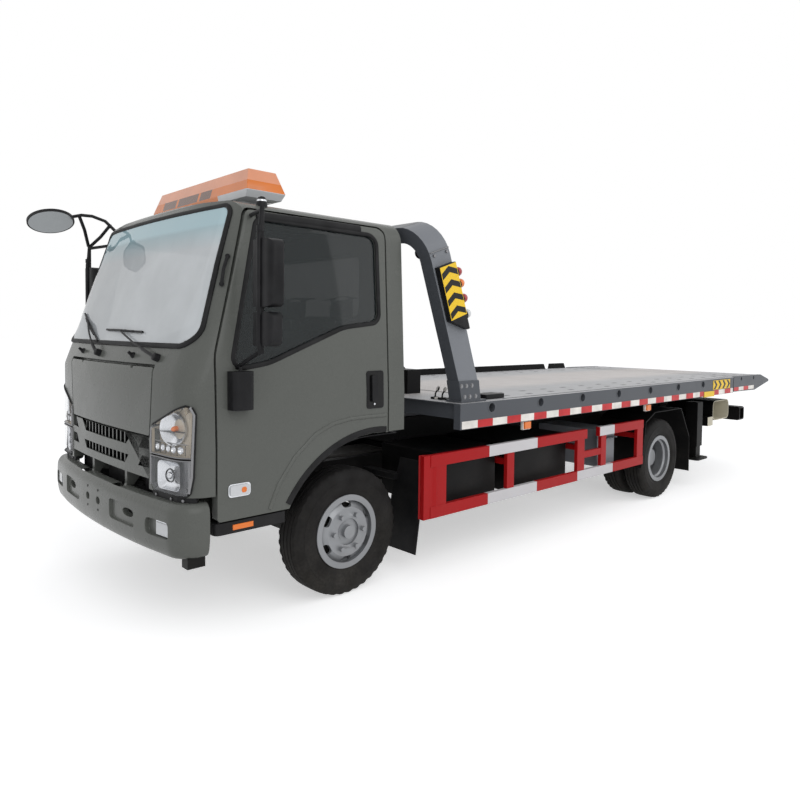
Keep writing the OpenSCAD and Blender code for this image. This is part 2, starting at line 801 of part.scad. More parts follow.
// Mudguards behind the front wheels
module front_mudguards() {
    color(black_paint) both_sides() {
        side_profile(700, 1000) polygon([[-500, 150], [-508, 150], [-560, 500], [-640, 745], [-632, 748],
            [-550, 500]]);
        box(-628, -560, frame_half, 720, 600, 640);
    }
}

// Fenders over the rear wheels: folded plates with a flap behind
fender_t = 8;
// Fold lines of a fender, from the rear axle: ahead and height
fender_folds = [[420, 350], [345, 790], [170, 872], [-400, 872], [-600, 560], [-610, 190]];

module rear_fenders() {
    inner = [for (i = [len(fender_folds) - 1:-1:0]) fender_folds[i] - [i < 3 ? fender_t : -fender_t,
        i > 0 && i < 5 ? fender_t : 0]];
    color(black_paint) both_sides() translate([-wheelbase, 0, 0]) {
        side_profile(575, 1070) polygon(concat(fender_folds, inner));
        for (x = [372, -545]) box(x - 20, x + 15, frame_half, 590, 640, 680);
    }
}

// Outriggers: square housings on a cross tube under the rails, legs sliding inside them
leg_out = 130;
leg_wall = 12;
leg_in = leg_out / 2 - leg_wall - slide_fit;
house_z = 420;
house_top = 900;
foot_t = 22;
foot_half = 130;

module outrigger_housings() {
    half = leg_out / 2;
    color(black_paint) {
        both_sides() difference() {
            translate([-outrigger_x, outrigger_y, 0]) box(-half, half, -half, half, house_z, house_top);
            translate([-outrigger_x, outrigger_y, 0]) box(-half + leg_wall, half - leg_wall,
                -half + leg_wall, half - leg_wall,
                house_z - 1, house_top - leg_wall);
        }
        box(-outrigger_x - 50, -outrigger_x + 50, -outrigger_y + half - 2, outrigger_y - half + 2, house_z,
            rail_z);
        boom_lugs();
    }
}

module outrigger_leg(s) {
    color([0.6, 0.6, 0.62]) on_side(s) translate([-outrigger_x, outrigger_y, 0]) {
        box(-leg_in, leg_in, -leg_in, leg_in, foot_z, house_top - leg_wall - 20);
        translate([0, 0, foot_z]) linear_extrude(foot_t) polygon(rounded([for (p = [[1, 1], [-1, 1], [-1,
            -1], [1, -1]])
            [p.x * foot_half, p.y * (foot_half - 20), 30]], 4));
    }
}

// Wheel lift: boom hinged behind the outrigger tube, slider inside it, cross bar on the slider's end
boom_z = 530;
boom_h = 110;
boom_wall = 10;
boom_hinge_x = outrigger_x + 130;
boom_pin_d = 36;
bar_z = boom_z + boom_h / 2 + 5;
bar_h = 165;
bar_x = boom_hinge_x + boom_len + 80;
bar_pin_d = 60;
slider_half = boom_h / 2 - boom_wall - slide_fit;

module boom_lugs() {
    both_sides() difference() {
        box(-boom_hinge_x - 40, -outrigger_x - 45, 75, 100, boom_z - 60, boom_z + 30);
        translate([-boom_hinge_x, 74, boom_z - 12]) about_axle() cylinder(d = boom_pin_d + 2 * run_fit,
            h = 40);
    }
}

module lift_boom() {
    half = boom_h / 2;
    color(black_paint) difference() {
        union() {
            box(-boom_hinge_x - boom_len, -boom_hinge_x + 20, -half, half, boom_z - half, boom_z + half);
            translate([-boom_hinge_x, -98, boom_z - 12]) about_axle() cylinder(d = boom_pin_d, h = 196);
        }
        box(-boom_hinge_x - boom_len - 1, -boom_hinge_x - 60, -half + boom_wall, half - boom_wall,
            boom_z - half + boom_wall, boom_z + half - boom_wall);
    }
}

module lift_slider() {
    color(black_paint) {
        box(-bar_x - 60, -boom_hinge_x - 120, -slider_half, slider_half, boom_z - slider_half,
            boom_z + slider_half);
        translate([-bar_x, 0, boom_z]) cylinder(d = bar_pin_d, h = bar_z - boom_z + bar_h - 10);
        translate([-bar_x, 0, boom_z]) cylinder(d = 110, h = bar_z - boom_z - rest_gap);
    }
}

module lift_bar() {
    color(black_paint) difference() {
        front_profile(-bar_x - 70, -bar_x + 70) polygon(rounded([
            [bar_half, bar_z, 25], [bar_half, bar_z + bar_h, 25], [-bar_half, bar_z + bar_h, 25],
                [-bar_half, bar_z, 25]], 4));
        translate([-bar_x, 0, bar_z - 1]) cylinder(d = bar_pin_d + 2 * run_fit, h = bar_h - 8);
        both_sides() front_profile(-bar_x - 50, -bar_x + 50) polygon([
            [bar_half - 300, bar_z + 20], [bar_half + 1, bar_z + 20], [bar_half + 1, bar_z + bar_h - 20],
                [bar_half - 300, bar_z + bar_h - 20]]);
    }
}

// Cab form: four outlines cut each other, all moved inwards by t
front_r = 9000;
front_corner = 165;
screen_r = front_r;
screen_corner = 185;
screen_x = cab_nose;
belt_z = 1250;
eave_y = 948;
header_r = 170;
back_r = 100;
form_z = 500;

function nose_x(y, nose, r) = nose - y * y / (2 * r);

function plan_points(t) =
    let (w = cab_w / 2 - t)
    [[-cab_back + t, -w, 0], [nose_x(w, cab_nose - t, front_r), -w, max(front_corner - t, 40)],
    each [for (k = [-2:2]) [nose_x(k * 320, cab_nose - t, front_r), k * 320, 0]],
    [nose_x(w, cab_nose - t, front_r), w, max(front_corner - t, 40)], [-cab_back + t, w, 0]];

// Outline across the windscreen's slope: local x forwards, widening behind the pillars
function screen_points(t) =
    let (w = cab_w / 2 - 30 - t)
    [[-1800, -w - 60, 0], [-420, -w - 40, 200], [nose_x(w, -t, screen_r), -w, max(screen_corner - t, 40)],
    each [for (k = [-2:2]) [nose_x(k * 300, -t, screen_r), k * 300, 0]],
    [nose_x(w, -t, screen_r), w, max(screen_corner - t, 40)], [-420, w + 40, 200], [-1800, w + 60, 0]];

function front_points(t) = [
    [-cab_w / 2 + t, form_z, 0], [-cab_w / 2 + t, belt_z, 900], [-eave_y + t, eave_z - t, 140 - t],
    [0, roof_z - t, 2600], [eave_y - t, eave_z - t, 140 - t], [cab_w / 2 - t, belt_z, 900], [cab_w / 2 - t,
        form_z, 0]];

function side_points(t) =
    let (top = roof_z + 8 - t, lean = tan(screen_lean), off = 5 - t / cos(screen_lean))
    [[-cab_back + t, form_z, 0], [screen_x + off + (cowl_z - 600) * lean, form_z, 0],
    [screen_x + off + (cowl_z - 600) * lean, 600, 0],
    [screen_x + off - (top - cowl_z) * lean, top, header_r - t], [-cab_back + t, top, back_r - t]];

module cab_form(t) {
    intersection() {
        translate([0, 0, form_z - 1]) linear_extrude(2500) polygon(rounded(plan_points(t)));
        translate([screen_x, 0, cowl_z]) rotate([0, -screen_lean, 0]) translate([0, 0, -1200])
            linear_extrude(3000)
            polygon(rounded(screen_points(t)));
        front_profile(-900, 1700) polygon(rounded(front_points(t)));
        side_profile(-1200, 1200) polygon(rounded(side_points(t)));
    }
}

module cab_wall(t0, t1) {
    difference() {
        cab_form(t0);
        cab_form(t1);
    }
}

// Outlines in the side view: a door with its wheel-arch edge, and its window, grown by g
pillar_x = 735;
pillar_foot = 1500;

function door_points(g) = [
    [door_front + g, door_z - g, 20], [door_front + g, pillar_foot, 350], [pillar_x - 25 + g, door_top + g,
        50],
    [-door_rear - g, door_top + g, 50], [-door_rear - g, door_z - g, 0]];

module door_outline(g) {
    difference() {
        polygon(rounded(door_points(g), 5));
        polygon(arc([-arch_back, arch_z], arch_r - g, -40, 140, 24));
    }
}

module window_outline(g) {
    polygon(rounded([
        [-178 - g, 1694 - g, 50], [90, 1662 - g, 400], [600, 1463 - g, 400], [812 + g, 1432 - g, 45],
        [650 + g, 2222 + g, 50], [-170 - g, 2212 + g, 60]], 5));
}

module screen_outline(g) {
    polygon(rounded([[-900 - g, 1545 - g, 90], [900 + g, 1545 - g, 90], [800 + g, 2238 + g, 70], [-800 - g,
        2238 + g, 70]], 5));
}

module back_window_outline() {
    polygon(rounded([[-600, 1720, 60], [600, 1720, 60], [600, 2150, 60], [-600, 2150, 60]], 4));
}

lamp_back = door_front + door_gap + 9;
lamp_in = 640;
lamp_out = 958;
lamp_low = 778;
lamp_high = 1262;
lamp_split = 965;
lamp_seam = 10;

module lamp_outline(g) {
    polygon(rounded([[lamp_in - g, lamp_low - g, 30], [lamp_out + g, lamp_low - g, 30],
        [lamp_out + 12 + g, lamp_high + g, 35], [lamp_in - g, lid_z + 62 + g, 15]], 4));
}

module lid_outline(g, head) {
    polygon(rounded([[-lid_foot_w - g, lid_z - g, 12], [lid_foot_w + g, lid_z - g, 12],
        [lid_half_w + g, lid_top + head, 12], [-lid_half_w - g, lid_top + head, 12]], 3));
}

// The region under the cab's floor: low at the feet, high over the engine and the wheels
floor_front_x = 520;
floor_back_x = 440;
floor_t = 30;

function floor_line(d) = [
    [1400, cab_front_z + d], [floor_front_x, cab_front_z + d], [floor_back_x, cab_back_z + d], [-700,
        cab_back_z + d]];

module cab_floor() {
    intersection() {
        cab_form(wall / 2);
        side_profile(-1200, 1200) polygon(concat(floor_line(0), [for (i = [3:-1:0]) floor_line(floor_t)[i]]));
    }
}

sill_y = [700, cab_w / 2 - wall - 12];
lid_pin_d = 10;
lid_axis_x = cab_nose - 20;
lid_axis_z = lid_top - 12;
lid_head_gap = 16;
lid_lug_y = 400;
lid_lug_w = 16;
lid_pin_len = 60;
recess_d = lid_t + 12;

module cab_shell() {
    color(cab_paint) difference() {
        union() {
            cab_wall(0, wall);
            cab_floor();
            both_sides() box(floor_front_x + 10, door_front - 20, sill_y[0], sill_y[1], door_z,
                cab_front_z + 10);
        }
        under_floor();
        both_sides() side_profile(cab_w / 2 - 200, cab_w / 2 + 50) door_outline(door_gap);
        front_profile(600, 1400) screen_outline(0);
        front_profile(-500, -250) back_window_outline();
        both_sides() front_profile(lamp_back, 1400) lamp_outline(0);
        front_recess() lid_outline(door_gap, lid_head_gap);
        front_recess() grille_outline(0);
        box(nose_open_x, cab_nose + 5, -lid_foot_w, lid_foot_w, cab_front_z - 5, grille_low);
    }
    color(cab_paint) {
        lid_pins();
        both_sides() cab_ear();
    }
}

module under_floor() {
    difference() {
        side_profile(-1200, 1200) polygon(concat(floor_line(0), [[-700, 300], [1400, 300]]));
        both_sides() box(floor_front_x + 10, door_front - 20, sill_y[0], sill_y[1], door_z, cab_front_z + 10);
    }
}

// Ear under the cab's front wall, bored for the tilting pin, with its neck up to the wall
cab_ear_t = 32;
nose_open_x = 960;

module cab_ear() {
    x = cab_pivot_x;
    z = cab_pivot_z;
    difference() {
        side_profile(cab_ear_y, cab_ear_y + cab_ear_t) polygon(rounded([
            [x + 28, z - 30, 27], [x + 28, z + 6, 20], [x + 5, z + 40, 20], [x + 5, grille_low - 1, 0],
            [cab_nose - wall + 14, grille_low - 1, 0], [cab_nose - wall + 14, grille_low + 30, 0],
            [x - 90, grille_low + 30, 0], [x - 90, cab_front_z + 40, 20], [x - 28, z + 20, 20], [x - 28,
                z - 30, 27]], 5));
        translate([x, cab_ear_y - 1, z]) about_axle() cylinder(d = cab_pin_d + 2 * run_fit,
            h = cab_ear_t + 2);
    }
}

// Shallow recess in the front wall for a panel of the given front view
module front_recess() {
    intersection() {
        cab_wall(-5, recess_d);
        front_profile(950, 1400) children();
    }
}

// Hinge lugs of the lid, standing in its recess, with their pins
module lid_pins() {
    both_sides() translate([lid_axis_x, lid_lug_y, lid_axis_z]) {
        box(-recess_d - 5, lid_pin_d / 2, -lid_lug_w / 2, lid_lug_w / 2, -lid_pin_d / 2, lid_pin_d / 2);
        translate([0, -lid_pin_len / 2, 0]) about_axle() cylinder(d = lid_pin_d, h = lid_pin_len);
    }
}

// Service lid under the windscreen, notched behind for its two hinge lugs
module front_lid() {
    notch = lid_lug_w / 2 + 6;
    bore_len = lid_pin_len + 2 * pin_end;
    color(cab_paint) difference() {
        intersection() {
            cab_wall(0, lid_t);
            front_profile(950, 1400) lid_outline(0, 0);
        }
        both_sides() translate([lid_axis_x, lid_lug_y, lid_axis_z]) {
            translate([0, -bore_len / 2, 0]) about_axle() cylinder(d = lid_pin_d + 2 * run_fit, h = bore_len);
            box(-recess_d, lid_pin_d / 2 + 3, -notch, notch, -lid_pin_d - 3, lid_pin_d + 5);
        }
    }
}

// Grille panel: two wide slots with upright bars, and a short slot at each end of both
grille_top = lid_z - door_gap;
grille_low = 830;
grille_depth = 24;
// Wide slots: lower and upper edges, half width at the foot and at the head
grille_slots = [[877, 927, 315, 362], [985, grille_top + 5, 330, 412]];
// End slots: lower and upper edges, inner edge at the foot and at the head
grille_ends = [[884, 945, 482, 530], [985, grille_top + 5, 492, 548]];
grille_bar_pitch = 58;
grille_bar_w = 14;
bar_sink = 10;

module grille_outline(t) {
    w = lid_foot_w - t;
    polygon([[-w, grille_low], [w, grille_low], [w, grille_top - 0.01], [-w, grille_top - 0.01]]);
}

module slot_views() {
    for (k = grille_slots) polygon([[-k[2], k[0]], [k[2], k[0]], [k[3], k[1]], [-k[3], k[1]]]);
    for (k = grille_ends, m = [1, -1]) polygon([[m * k[2], k[0]], [m * (lid_foot_w + 1), k[0] + 4],
        [m * (lid_foot_w + 1), k[1]], [m * k[3], k[1]]]);
}

module slot_bars() {
    bars = floor(lid_foot_w / grille_bar_pitch);
    for (i = [-bars:bars]) translate([i * grille_bar_pitch - grille_bar_w / 2, grille_low])
        square([grille_bar_w, grille_top - grille_low]);
}

module grille() {
    color(cab_paint) difference() {
        intersection() {
            cab_wall(0, recess_d);
            front_profile(950, 1400) grille_outline(0);
        }
        intersection() {
            cab_wall(-10, bar_sink);
            front_profile(950, 1400) slot_views();
        }
        intersection() {
            cab_wall(bar_sink - 1, grille_depth);
            front_profile(950, 1400) difference() {
                slot_views();
                slot_bars();
            }
        }
    }
}

module cab_glass() {
    color(dark_glass) {
        intersection() {
            cab_wall(4, 4 + glass_t);
            union() {
                front_profile(600, 1400) screen_outline(0);
                front_profile(-500, -250) back_window_outline();
            }
        }
    }
}

module headlamps() {
    color(clear_lens) both_sides() intersection() {
        cab_wall(-4, wall);
        front_profile(lamp_back, 1400) difference() {
            lamp_outline(0);
            translate([lamp_in - 5, lamp_split]) square([lamp_out - lamp_in + 30, lamp_seam]);
        }
    }
}

// Doors: cut out of the same wall, hinged on a pin that stands on the step
door_axis_x = door_front - 14;
door_axis_y = cab_w / 2 - 14;
door_pin_d = 16;

module door(s) {
    color(cab_paint) on_side(s) difference() {
        intersection() {
            cab_wall(0, wall);
            side_profile(cab_w / 2 - 200, cab_w / 2 + 50) door_outline(0);
        }
        side_profile(cab_w / 2 - 200, cab_w / 2 + 50) window_outline(0);
        translate([door_axis_x, door_axis_y, door_z - 1]) cylinder(d = door_pin_d + 2 * run_fit, h = 61);
    }
}

module door_glass(s) {
    color(dark_glass) on_side(s) intersection() {
        cab_wall(12, 12 + glass_t);
        side_profile(cab_w / 2 - 200, cab_w / 2 + 50) window_outline(0);
    }
}

// Steps under the doors with the door pins
step_t = 62;
step_z = door_z - 7 - step_t;

module cab_steps() {
    color(black_paint) both_sides() {
        translate([0, 0, step_z]) linear_extrude(step_t) polygon(rounded([
            [500, 760, 0], [920, 760, 0], [920, cab_w / 2 + 5, 30], [500, cab_w / 2 + 5, 15]], 3));
        box(floor_front_x + 12, door_front - 22, sill_y[0] + 10, sill_y[1] - 10, step_z + step_t - 1, door_z);
        translate([door_axis_x, door_axis_y, step_z + step_t - 1]) cylinder(d = door_pin_d,
            h = door_z - step_z - step_t + 58);
    }
}

// Liners of the front wheel arches, hung under the cab's floor
module arch_liners() {
    r = arch_r - 26;
    color(black_paint) both_sides() side_profile(640, cab_w / 2 - wall - 12) difference() {
        polygon(concat(arc([-arch_back, arch_z], r, 35, 90, 10), [[-cab_back, arch_z + r], [-cab_back,
            arch_z + r - 8]],
            arc([-arch_back, arch_z], r - 8, 90, 35, 10)));
        translate([floor_back_x - 40, cab_front_z]) square([400, 300]);
    }
    color(black_paint) both_sides() box(-300, -240, 700, 900, arch_z + r - 2, cab_back_z);
}

// Mirror stay on a door: upright tube on two arms, with its mirrors
mirror_x = 790;
stay_low = 1530;
stay_top = 2225;
// Mirrors on a stay: lower edge, height, width, depth
mirror_heads = [[1745, 335, 200, 80], [1550, 170, 190, 75]];
head_ahead = 12;
kerb_mirror = [1215, 200, 120, 80];
round_mirror_r = 150;
round_mirror_at = [1090, 1100, 2378];
round_mirror_tilt = 25;
tube_end = 14;

module stay_bar(a, b, d) {
    v = b - a;
    translate(a) rotate([0, acos(v.z / norm(v)), atan2(v.y, v.x)]) cylinder(d = d, h = norm(v));
}

// Mirror head: rounded in the view from the front and in plan
module mirror_head(z, h, w, d) {
    intersection() {
        front_profile(head_ahead - d, head_ahead) polygon(rounded([
            [-w / 2, z, 45], [w / 2, z, 45], [w / 2, z + h, 45], [-w / 2, z + h, 45]], 5));
        translate([0, 0, z - 1]) linear_extrude(h + 2) polygon(rounded([
            [head_ahead, -w / 2, 45], [head_ahead, w / 2, 45], [head_ahead - d, w / 2, 12], [head_ahead - d,
                -w / 2, 12]], 5));
    }
}

module kerb_mirror_head() {
    w = kerb_mirror[2] / 2;
    d = kerb_mirror[3];
    translate([mirror_x, cab_w / 2 - 4, kerb_mirror[0]]) linear_extrude(kerb_mirror[1]) polygon(rounded([
        [w, 0, 5], [w, d, 30], [-w, d, 30], [-w, 0, 5]], 5));
}

module mirror_stay(s) {
    d = mirror_tube_d;
    y = mirror_y;
    color(black_paint) on_side(s) difference() {
        union() {
            stay_bar([mirror_x, y, stay_low - tube_end], [mirror_x, y, stay_top + tube_end], d);
            stay_bar([mirror_x, y, stay_top], [pillar_x - 75, 880, stay_top + 20], d);
            stay_bar([mirror_x, y, stay_low], [mirror_x, cab_w / 2 - 40, stay_low - 110], d);
            for (m = mirror_heads) translate([mirror_x, y, 0]) mirror_head(m[0], m[1], m[2], m[3]);
            kerb_mirror_head();
            stay_bar([mirror_x, cab_w / 2 + 30, kerb_mirror[0] + 150], [mirror_x, cab_w / 2 + 22,
                stay_low - 82], d - 2);
            if (s < 0) front_view_mirror();
        }
        cab_form(0);
    }
}

// Look-down mirror ahead of the right front corner, on two bars
module front_view_mirror() {
    knee = [950, 1200, 2335];
    stay_bar([mirror_x, mirror_y, stay_top], knee, 18);
    stay_bar(knee, round_mirror_at + [-40, 0, 12], 17);
    stay_bar([mirror_x, mirror_y, stay_top - 120], knee, 14);
    translate(knee) sphere(d = 26);
    translate(round_mirror_at) rotate([-round_mirror_tilt, 0, 0]) {
        translate([0, 0, -8]) cylinder(r = round_mirror_r, h = 16);
        translate([0, 0, 7]) cylinder(r1 = round_mirror_r - 4, r2 = 70, h = 34);
    }
}

// Light bar on two feet on the roof: bevelled in the side view and in the front view
light_z = roof_z + 30;
light_h = 172;
light_edge = 40;
light_half = 655;
// Side view of the bar: ahead of the front axle, height over its foot
light_side = [[300, 0], [535, 0], [545, light_edge], [505, light_h], [320, light_h], [285, light_edge]];
// Front view of one half: half width, height over its foot
light_front = [[light_half - 25, 0], [light_half, light_edge], [light_half - 55, light_h]];
light_feet = [-420, 420];

module light_bar() {
    color(amber) difference() {
        union() {
            translate([0, 0, light_z]) intersection() {
                side_profile(-light_half - 1, light_half + 1) polygon(light_side);
                front_profile(200, 700) polygon(concat(
                    light_front, [for (i = [2:-1:0]) [-light_front[i].x, light_front[i].y]]));
            }
            for (y = light_feet) box(light_side[0].x + 40, light_side[1].x - 40, y - 50, y + 50, eave_z,
                light_z + 5);
        }
        cab_form(0);
    }
}

// Seats: driver's seat and a double seat on the engine cover
// Seats: middle and width of each
seat_rows = [[480, 480], [-300, 900]];
seat_z = cab_back_z + floor_t;

module seats() {
    color(trim_grey) for (p = seat_rows) {
        side_profile(p[0] - p[1] / 2, p[0] + p[1] / 2) polygon(rounded([
            [-270, seat_z, 10], [380, seat_z, 10], [400, seat_z + 150, 60], [-250, seat_z + 120, 20]], 4));
        side_profile(p[0] - p[1] / 2 + 10, p[0] + p[1] / 2 - 10) polygon(rounded([
            [-280, seat_z + 60, 10], [-130, seat_z + 60, 10], [-235, seat_z + 640, 40], [-322, seat_z + 630,
                30]], 4));
        for (h = p[1] > 600 ? [-1, 1] : [0]) translate([0, h * p[1] / 4, 0])
            side_profile(p[0] - 130, p[0] + 130) polygon(rounded([
                [-250, seat_z + 600, 10], [-240, seat_z + 850, 30], [-305, seat_z + 850, 30], [-300,
                    seat_z + 600, 10]], 4));
    }
}

// Dashboard with the steering wheel on its column
dash_wheel_r = 205;

module dashboard() {
    color(trim_grey) {
        difference() {
            side_profile(-880, 880) polygon(rounded([
                [1010, 1180, 0], [990, 1400, 20], [720, 1420, 70], [680, 1180, 40], [800, 1100, 20]], 4));
            difference() {
                box(500, 1300, -1200, 1200, 900, 1600);
                cab_form(wall + seat_gap);
            }
        }
        for (y = [-700, 0, 700]) box(900, 980, y - 60, y + 60, cab_front_z + floor_t, 1200);
        translate([780, 480, 1300]) rotate([0, -58, 0]) {
            cylinder(d = 60, h = 250);
            translate([0, 0, 250]) rotate_extrude() translate([dash_wheel_r, 0]) circle(d = 30, $fn = 24);
            for (a = [90, 210, 330]) rotate(a) translate([0, -16, 236]) cube([dash_wheel_r, 32, 18]);
            translate([0, 0, 225]) cylinder(d = 110, h = 40);
        }
    }
}

// Wipers: pivots on the cowl, arms and blades lying on the glass
// Wipers: pivot's place across, blade's middle across, blade length
wiper_rows = [[560, 250, 560], [-140, -450, 560]];

module wipers() {
    color(black_paint) translate([screen_x, 0, cowl_z]) rotate([0, -screen_lean, 0]) for (w = wiper_rows) {
        difference() {
            translate([-60, w[0], 60]) rotate([0, 90, 0]) cylinder(d = 36, h = 90);
            translate([-screen_x, 0, -cowl_z]) wiper_seat();
        }
        translate([22, 0, 0]) rotate([90, 0, 90]) linear_extrude(10) polygon([
            [w[0] + 10, 50], [w[0] - 10, 72], [w[1] - 8, 262], [w[1] + 8, 250]]);
        translate([6, w[1] - w[2] / 2, 235]) cube([18, w[2], 26]);
    }
}

module wiper_seat() {
    translate([screen_x, 0, cowl_z]) rotate([0, screen_lean, 0]) translate([-screen_x, 0, -cowl_z])
        cab_form(0);
}

// Tilt frame: two box rails under the bed, cross members, pivot bores and brackets for the rods
frame_rail_w = 70;
frame_top = bed_z - 6;
frame_low = subframe_top + rest_gap;
frame_cross = [1000, 1700, 2700, 3800, 4800];
tilt_rail_y = bed_slide_y - 30;

module tilt_frame() {
    color(bed_paint) difference() {
        union() {
            both_sides() {
                box(-tilt_x, -bed_front - 150, tilt_rail_y, tilt_rail_y + frame_rail_w - 5, frame_low,
                    frame_top);
                translate([-tilt_x, tilt_rail_y, tilt_z]) about_axle() cylinder(r = 90, h = frame_rail_w - 5);
                for (y = [ram_y - 58, ram_y + 34]) side_profile(y, y + 24) polygon([
                    [-ram_eye_x - 90, frame_top], [-ram_eye_x - 70, ram_eye_z - 60], [-ram_eye_x + 70,
                        ram_eye_z - 60],
                    [-ram_eye_x + 90, frame_top]]);
                for (x = [1300, 2600, 3900, 5000]) box(-x - 80, -x + 80, tilt_rail_y,
                    tilt_rail_y + frame_rail_w - 5,
                    frame_top - 1, bed_z - rest_gap);
            }
            for (x = frame_cross) box(-x - 40, -x + 40, -tilt_rail_y - 2, tilt_rail_y + 2, frame_low + 60,
                frame_top - 20);
            box(-ram_eye_x - 40, -ram_eye_x + 40, -tilt_rail_y - 2, tilt_rail_y + 2, frame_top - 30,
                frame_top);
        }
        both_sides() translate([-tilt_x, tilt_rail_y - 1, tilt_z]) about_axle()
            cylinder(d = tilt_pin_d + 2 * run_fit, h = frame_rail_w);
    }
}

// Bed: deck plate, side beams with lashing holes, slide beams and cross members
plate_front = 1300;
plate_rear = 5;
plate_edge = 60;
plate_t = 3;
bed_cross = [820, 1420, 2020, 2620, 3220, 3820, 4420, 5020, 5290];

module bed_deck() {
    color(bed_paint) difference() {
        union() {
            box(-bed_rear, -bed_front, -bed_w / 2, bed_w / 2, deck_z - deck_t, deck_z);
            box(-bed_rear + plate_rear, -plate_front, -bed_w / 2 + plate_edge, bed_w / 2 - plate_edge,
                deck_z - 1,
                deck_z + plate_t);
            both_sides() {
                box(-bed_rear, -bed_front, bed_w / 2 - beam_w, bed_w / 2, bed_z, deck_z);
                box(-bed_rear, -bed_front - 40, bed_slide_y - 30, bed_slide_y + 35, bed_z, deck_z - 1);
            }
            for (x = bed_cross) box(-x - 30, -x + 30, -bed_w / 2 + 5, bed_w / 2 - 5, deck_z - 110,
                deck_z - 1);
        }
        both_sides() for (i = [0:lash_count - 1]) translate([-lash_first - i * lash_pitch,
            bed_w / 2 - beam_w - 1, deck_z - 45])
            about_axle() cylinder(d = lash_d, h = beam_w + 2);
    }
}

// Tail: wedge behind the side beams, sharp at its tip, between two pierced side plates
tail_bend = 270;
tail_hole_d = 40;
tail_holes = [5570, 5942];
tail_plate_t = 40;

module bed_tail() {
    y = bed_w / 2;
    color(bed_paint) {
        side_profile(-y + 8, y - 8) polygon([
            [-bed_rear, deck_z - 60], [-bed_rear, deck_z], [-tail_tip + tail_bend, deck_z], [-tail_tip + 20,
                deck_z - 62],
            [-tail_tip + 26, deck_z - 74], [-tail_tip + tail_bend + 30, deck_z - 100]]);
        both_sides() side_profile(y - tail_plate_t, y) difference() {
            polygon([[-bed_rear - 15, bed_z + 8], [-bed_rear - 15, deck_z - 12], [-bed_rear - 80, deck_z + 8],
                [-tail_tip + tail_bend, deck_z + 2], [-tail_tip, deck_z - 65], [-tail_tip, deck_z - 88],
                [-tail_tip + 455, bed_z]]);
            for (x = tail_holes) translate([-x, deck_z - 28]) circle(d = tail_hole_d);
        }
    }
}

// Hoop behind the cab: legs and cross bar with round corners, leaning forward, in upright foot sleeves
hoop_r = 240;
hoop_base_x = 935;
foot_top = 150;
foot_skin = 7;
leg_start = 110;

module hoop_plane() {
    translate([-hoop_base_x, 0, deck_z]) rotate([0, hoop_lean, 0]) children();
}

module hoop() {
    w = hoop_w / 2;
    inner = w - hoop_t;
    top = hoop_h / cos(hoop_lean);
    half = hoop_depth / 2;
    color(bed_paint) {
        hoop_plane() front_profile(-half, half) difference() {
            polygon(rounded([[-w, leg_start, 0], [w, leg_start, 0], [w, top, hoop_r], [-w, top, hoop_r]], 8));
            polygon(rounded([[-inner, leg_start - 1, 0], [inner, leg_start - 1, 0], [inner, top - hoop_t,
                hoop_r - hoop_t],
                [-inner, top - hoop_t, hoop_r - hoop_t]], 8));
        }
        both_sides() {
            side_profile(inner - foot_skin, w + foot_skin) polygon([
                [-hoop_base_x - 77, deck_z], [-hoop_base_x + 120, deck_z],
                [-hoop_base_x + 152, deck_z + foot_top], [-hoop_base_x - 53, deck_z + foot_top]]);
            box(-hoop_base_x - 130, -hoop_base_x + 130, inner - 30, w + foot_skin + 3, deck_z, deck_z + 14);
        }
    }
}

// Warning boards on the outer sides of the hoop's legs, with a wedge below, and the lamps behind the legs
board_low = 608;
board_h = 362;
board_w = 160;
board_t = 45;
board_wedge = 100;
board_tip = 20;
lamp_d = 64;
lamp_len = 66;
// Lamps up a leg: height on it
board_lamps = [598, 707, 811, 891];
// Marker lamps under the bed's sides, behind the front axle
marker_lamps = [1517, 3383];

module warning_boards() {
    half = board_w / 2;
    color(black_paint) both_sides() hoop_plane() side_profile(hoop_w / 2, hoop_w / 2 + board_t) polygon([
        [-half, board_low - board_wedge], [-half + board_tip, board_low - board_wedge], [half, board_low],
        [half, board_low + board_h], [-half, board_low + board_h]]);
}

module bed_lamps() {
    color(guard_red) both_sides() {
        hoop_plane() for (z = board_lamps)
            translate([-hoop_depth / 2, hoop_w / 2 - 5, z]) rotate([0, -90, 0]) cylinder(d = lamp_d,
                h = lamp_len);
        for (x = marker_lamps) box(-x - 45, -x + 45, bed_w / 2 - 45, bed_w / 2 - 8, bed_z - 70, bed_z);
    }
}

// Low rail along the right edge of the deck, with a gap and a sloped rear end
rail_top_h = 68;
// Rail stretches, behind the front axle
rail_runs = [[1250, 4865], [4955, 5325]];

module bed_rail() {
    color(black_paint) for (r = rail_runs) side_profile(-bed_w / 2 + 10, -bed_w / 2 + 45) polygon([
        [-r[0], deck_z], [-r[0] - 20, deck_z + rail_top_h], [-r[1] + 40, deck_z + rail_top_h], [-r[1],
            deck_z]]);
}

// Winch at the front of the deck
winch_x = 1040;
winch_z = deck_z + 115;
winch_half = 210;
drum_r = 55;
winch_pin_d = 40;

module winch_frame() {
    color(black_paint) {
        for (s = [1, -1]) translate([-winch_x, s * winch_half, 0]) side_profile(-9, 9) difference() {
            polygon(rounded([[-110, deck_z, 0], [110, deck_z, 0], [80, winch_z + 90, 50], [-80,
                winch_z + 90, 50]], 4));
            translate([0, winch_z]) circle(d = winch_pin_d + 2 * run_fit);
        }
        box(-winch_x - 105, -winch_x + 105, -winch_half, winch_half, deck_z, deck_z + 12);
        box(-winch_x - 70, -winch_x + 70, winch_half + 8, winch_half + 190, deck_z, winch_z + 70);
    }
}

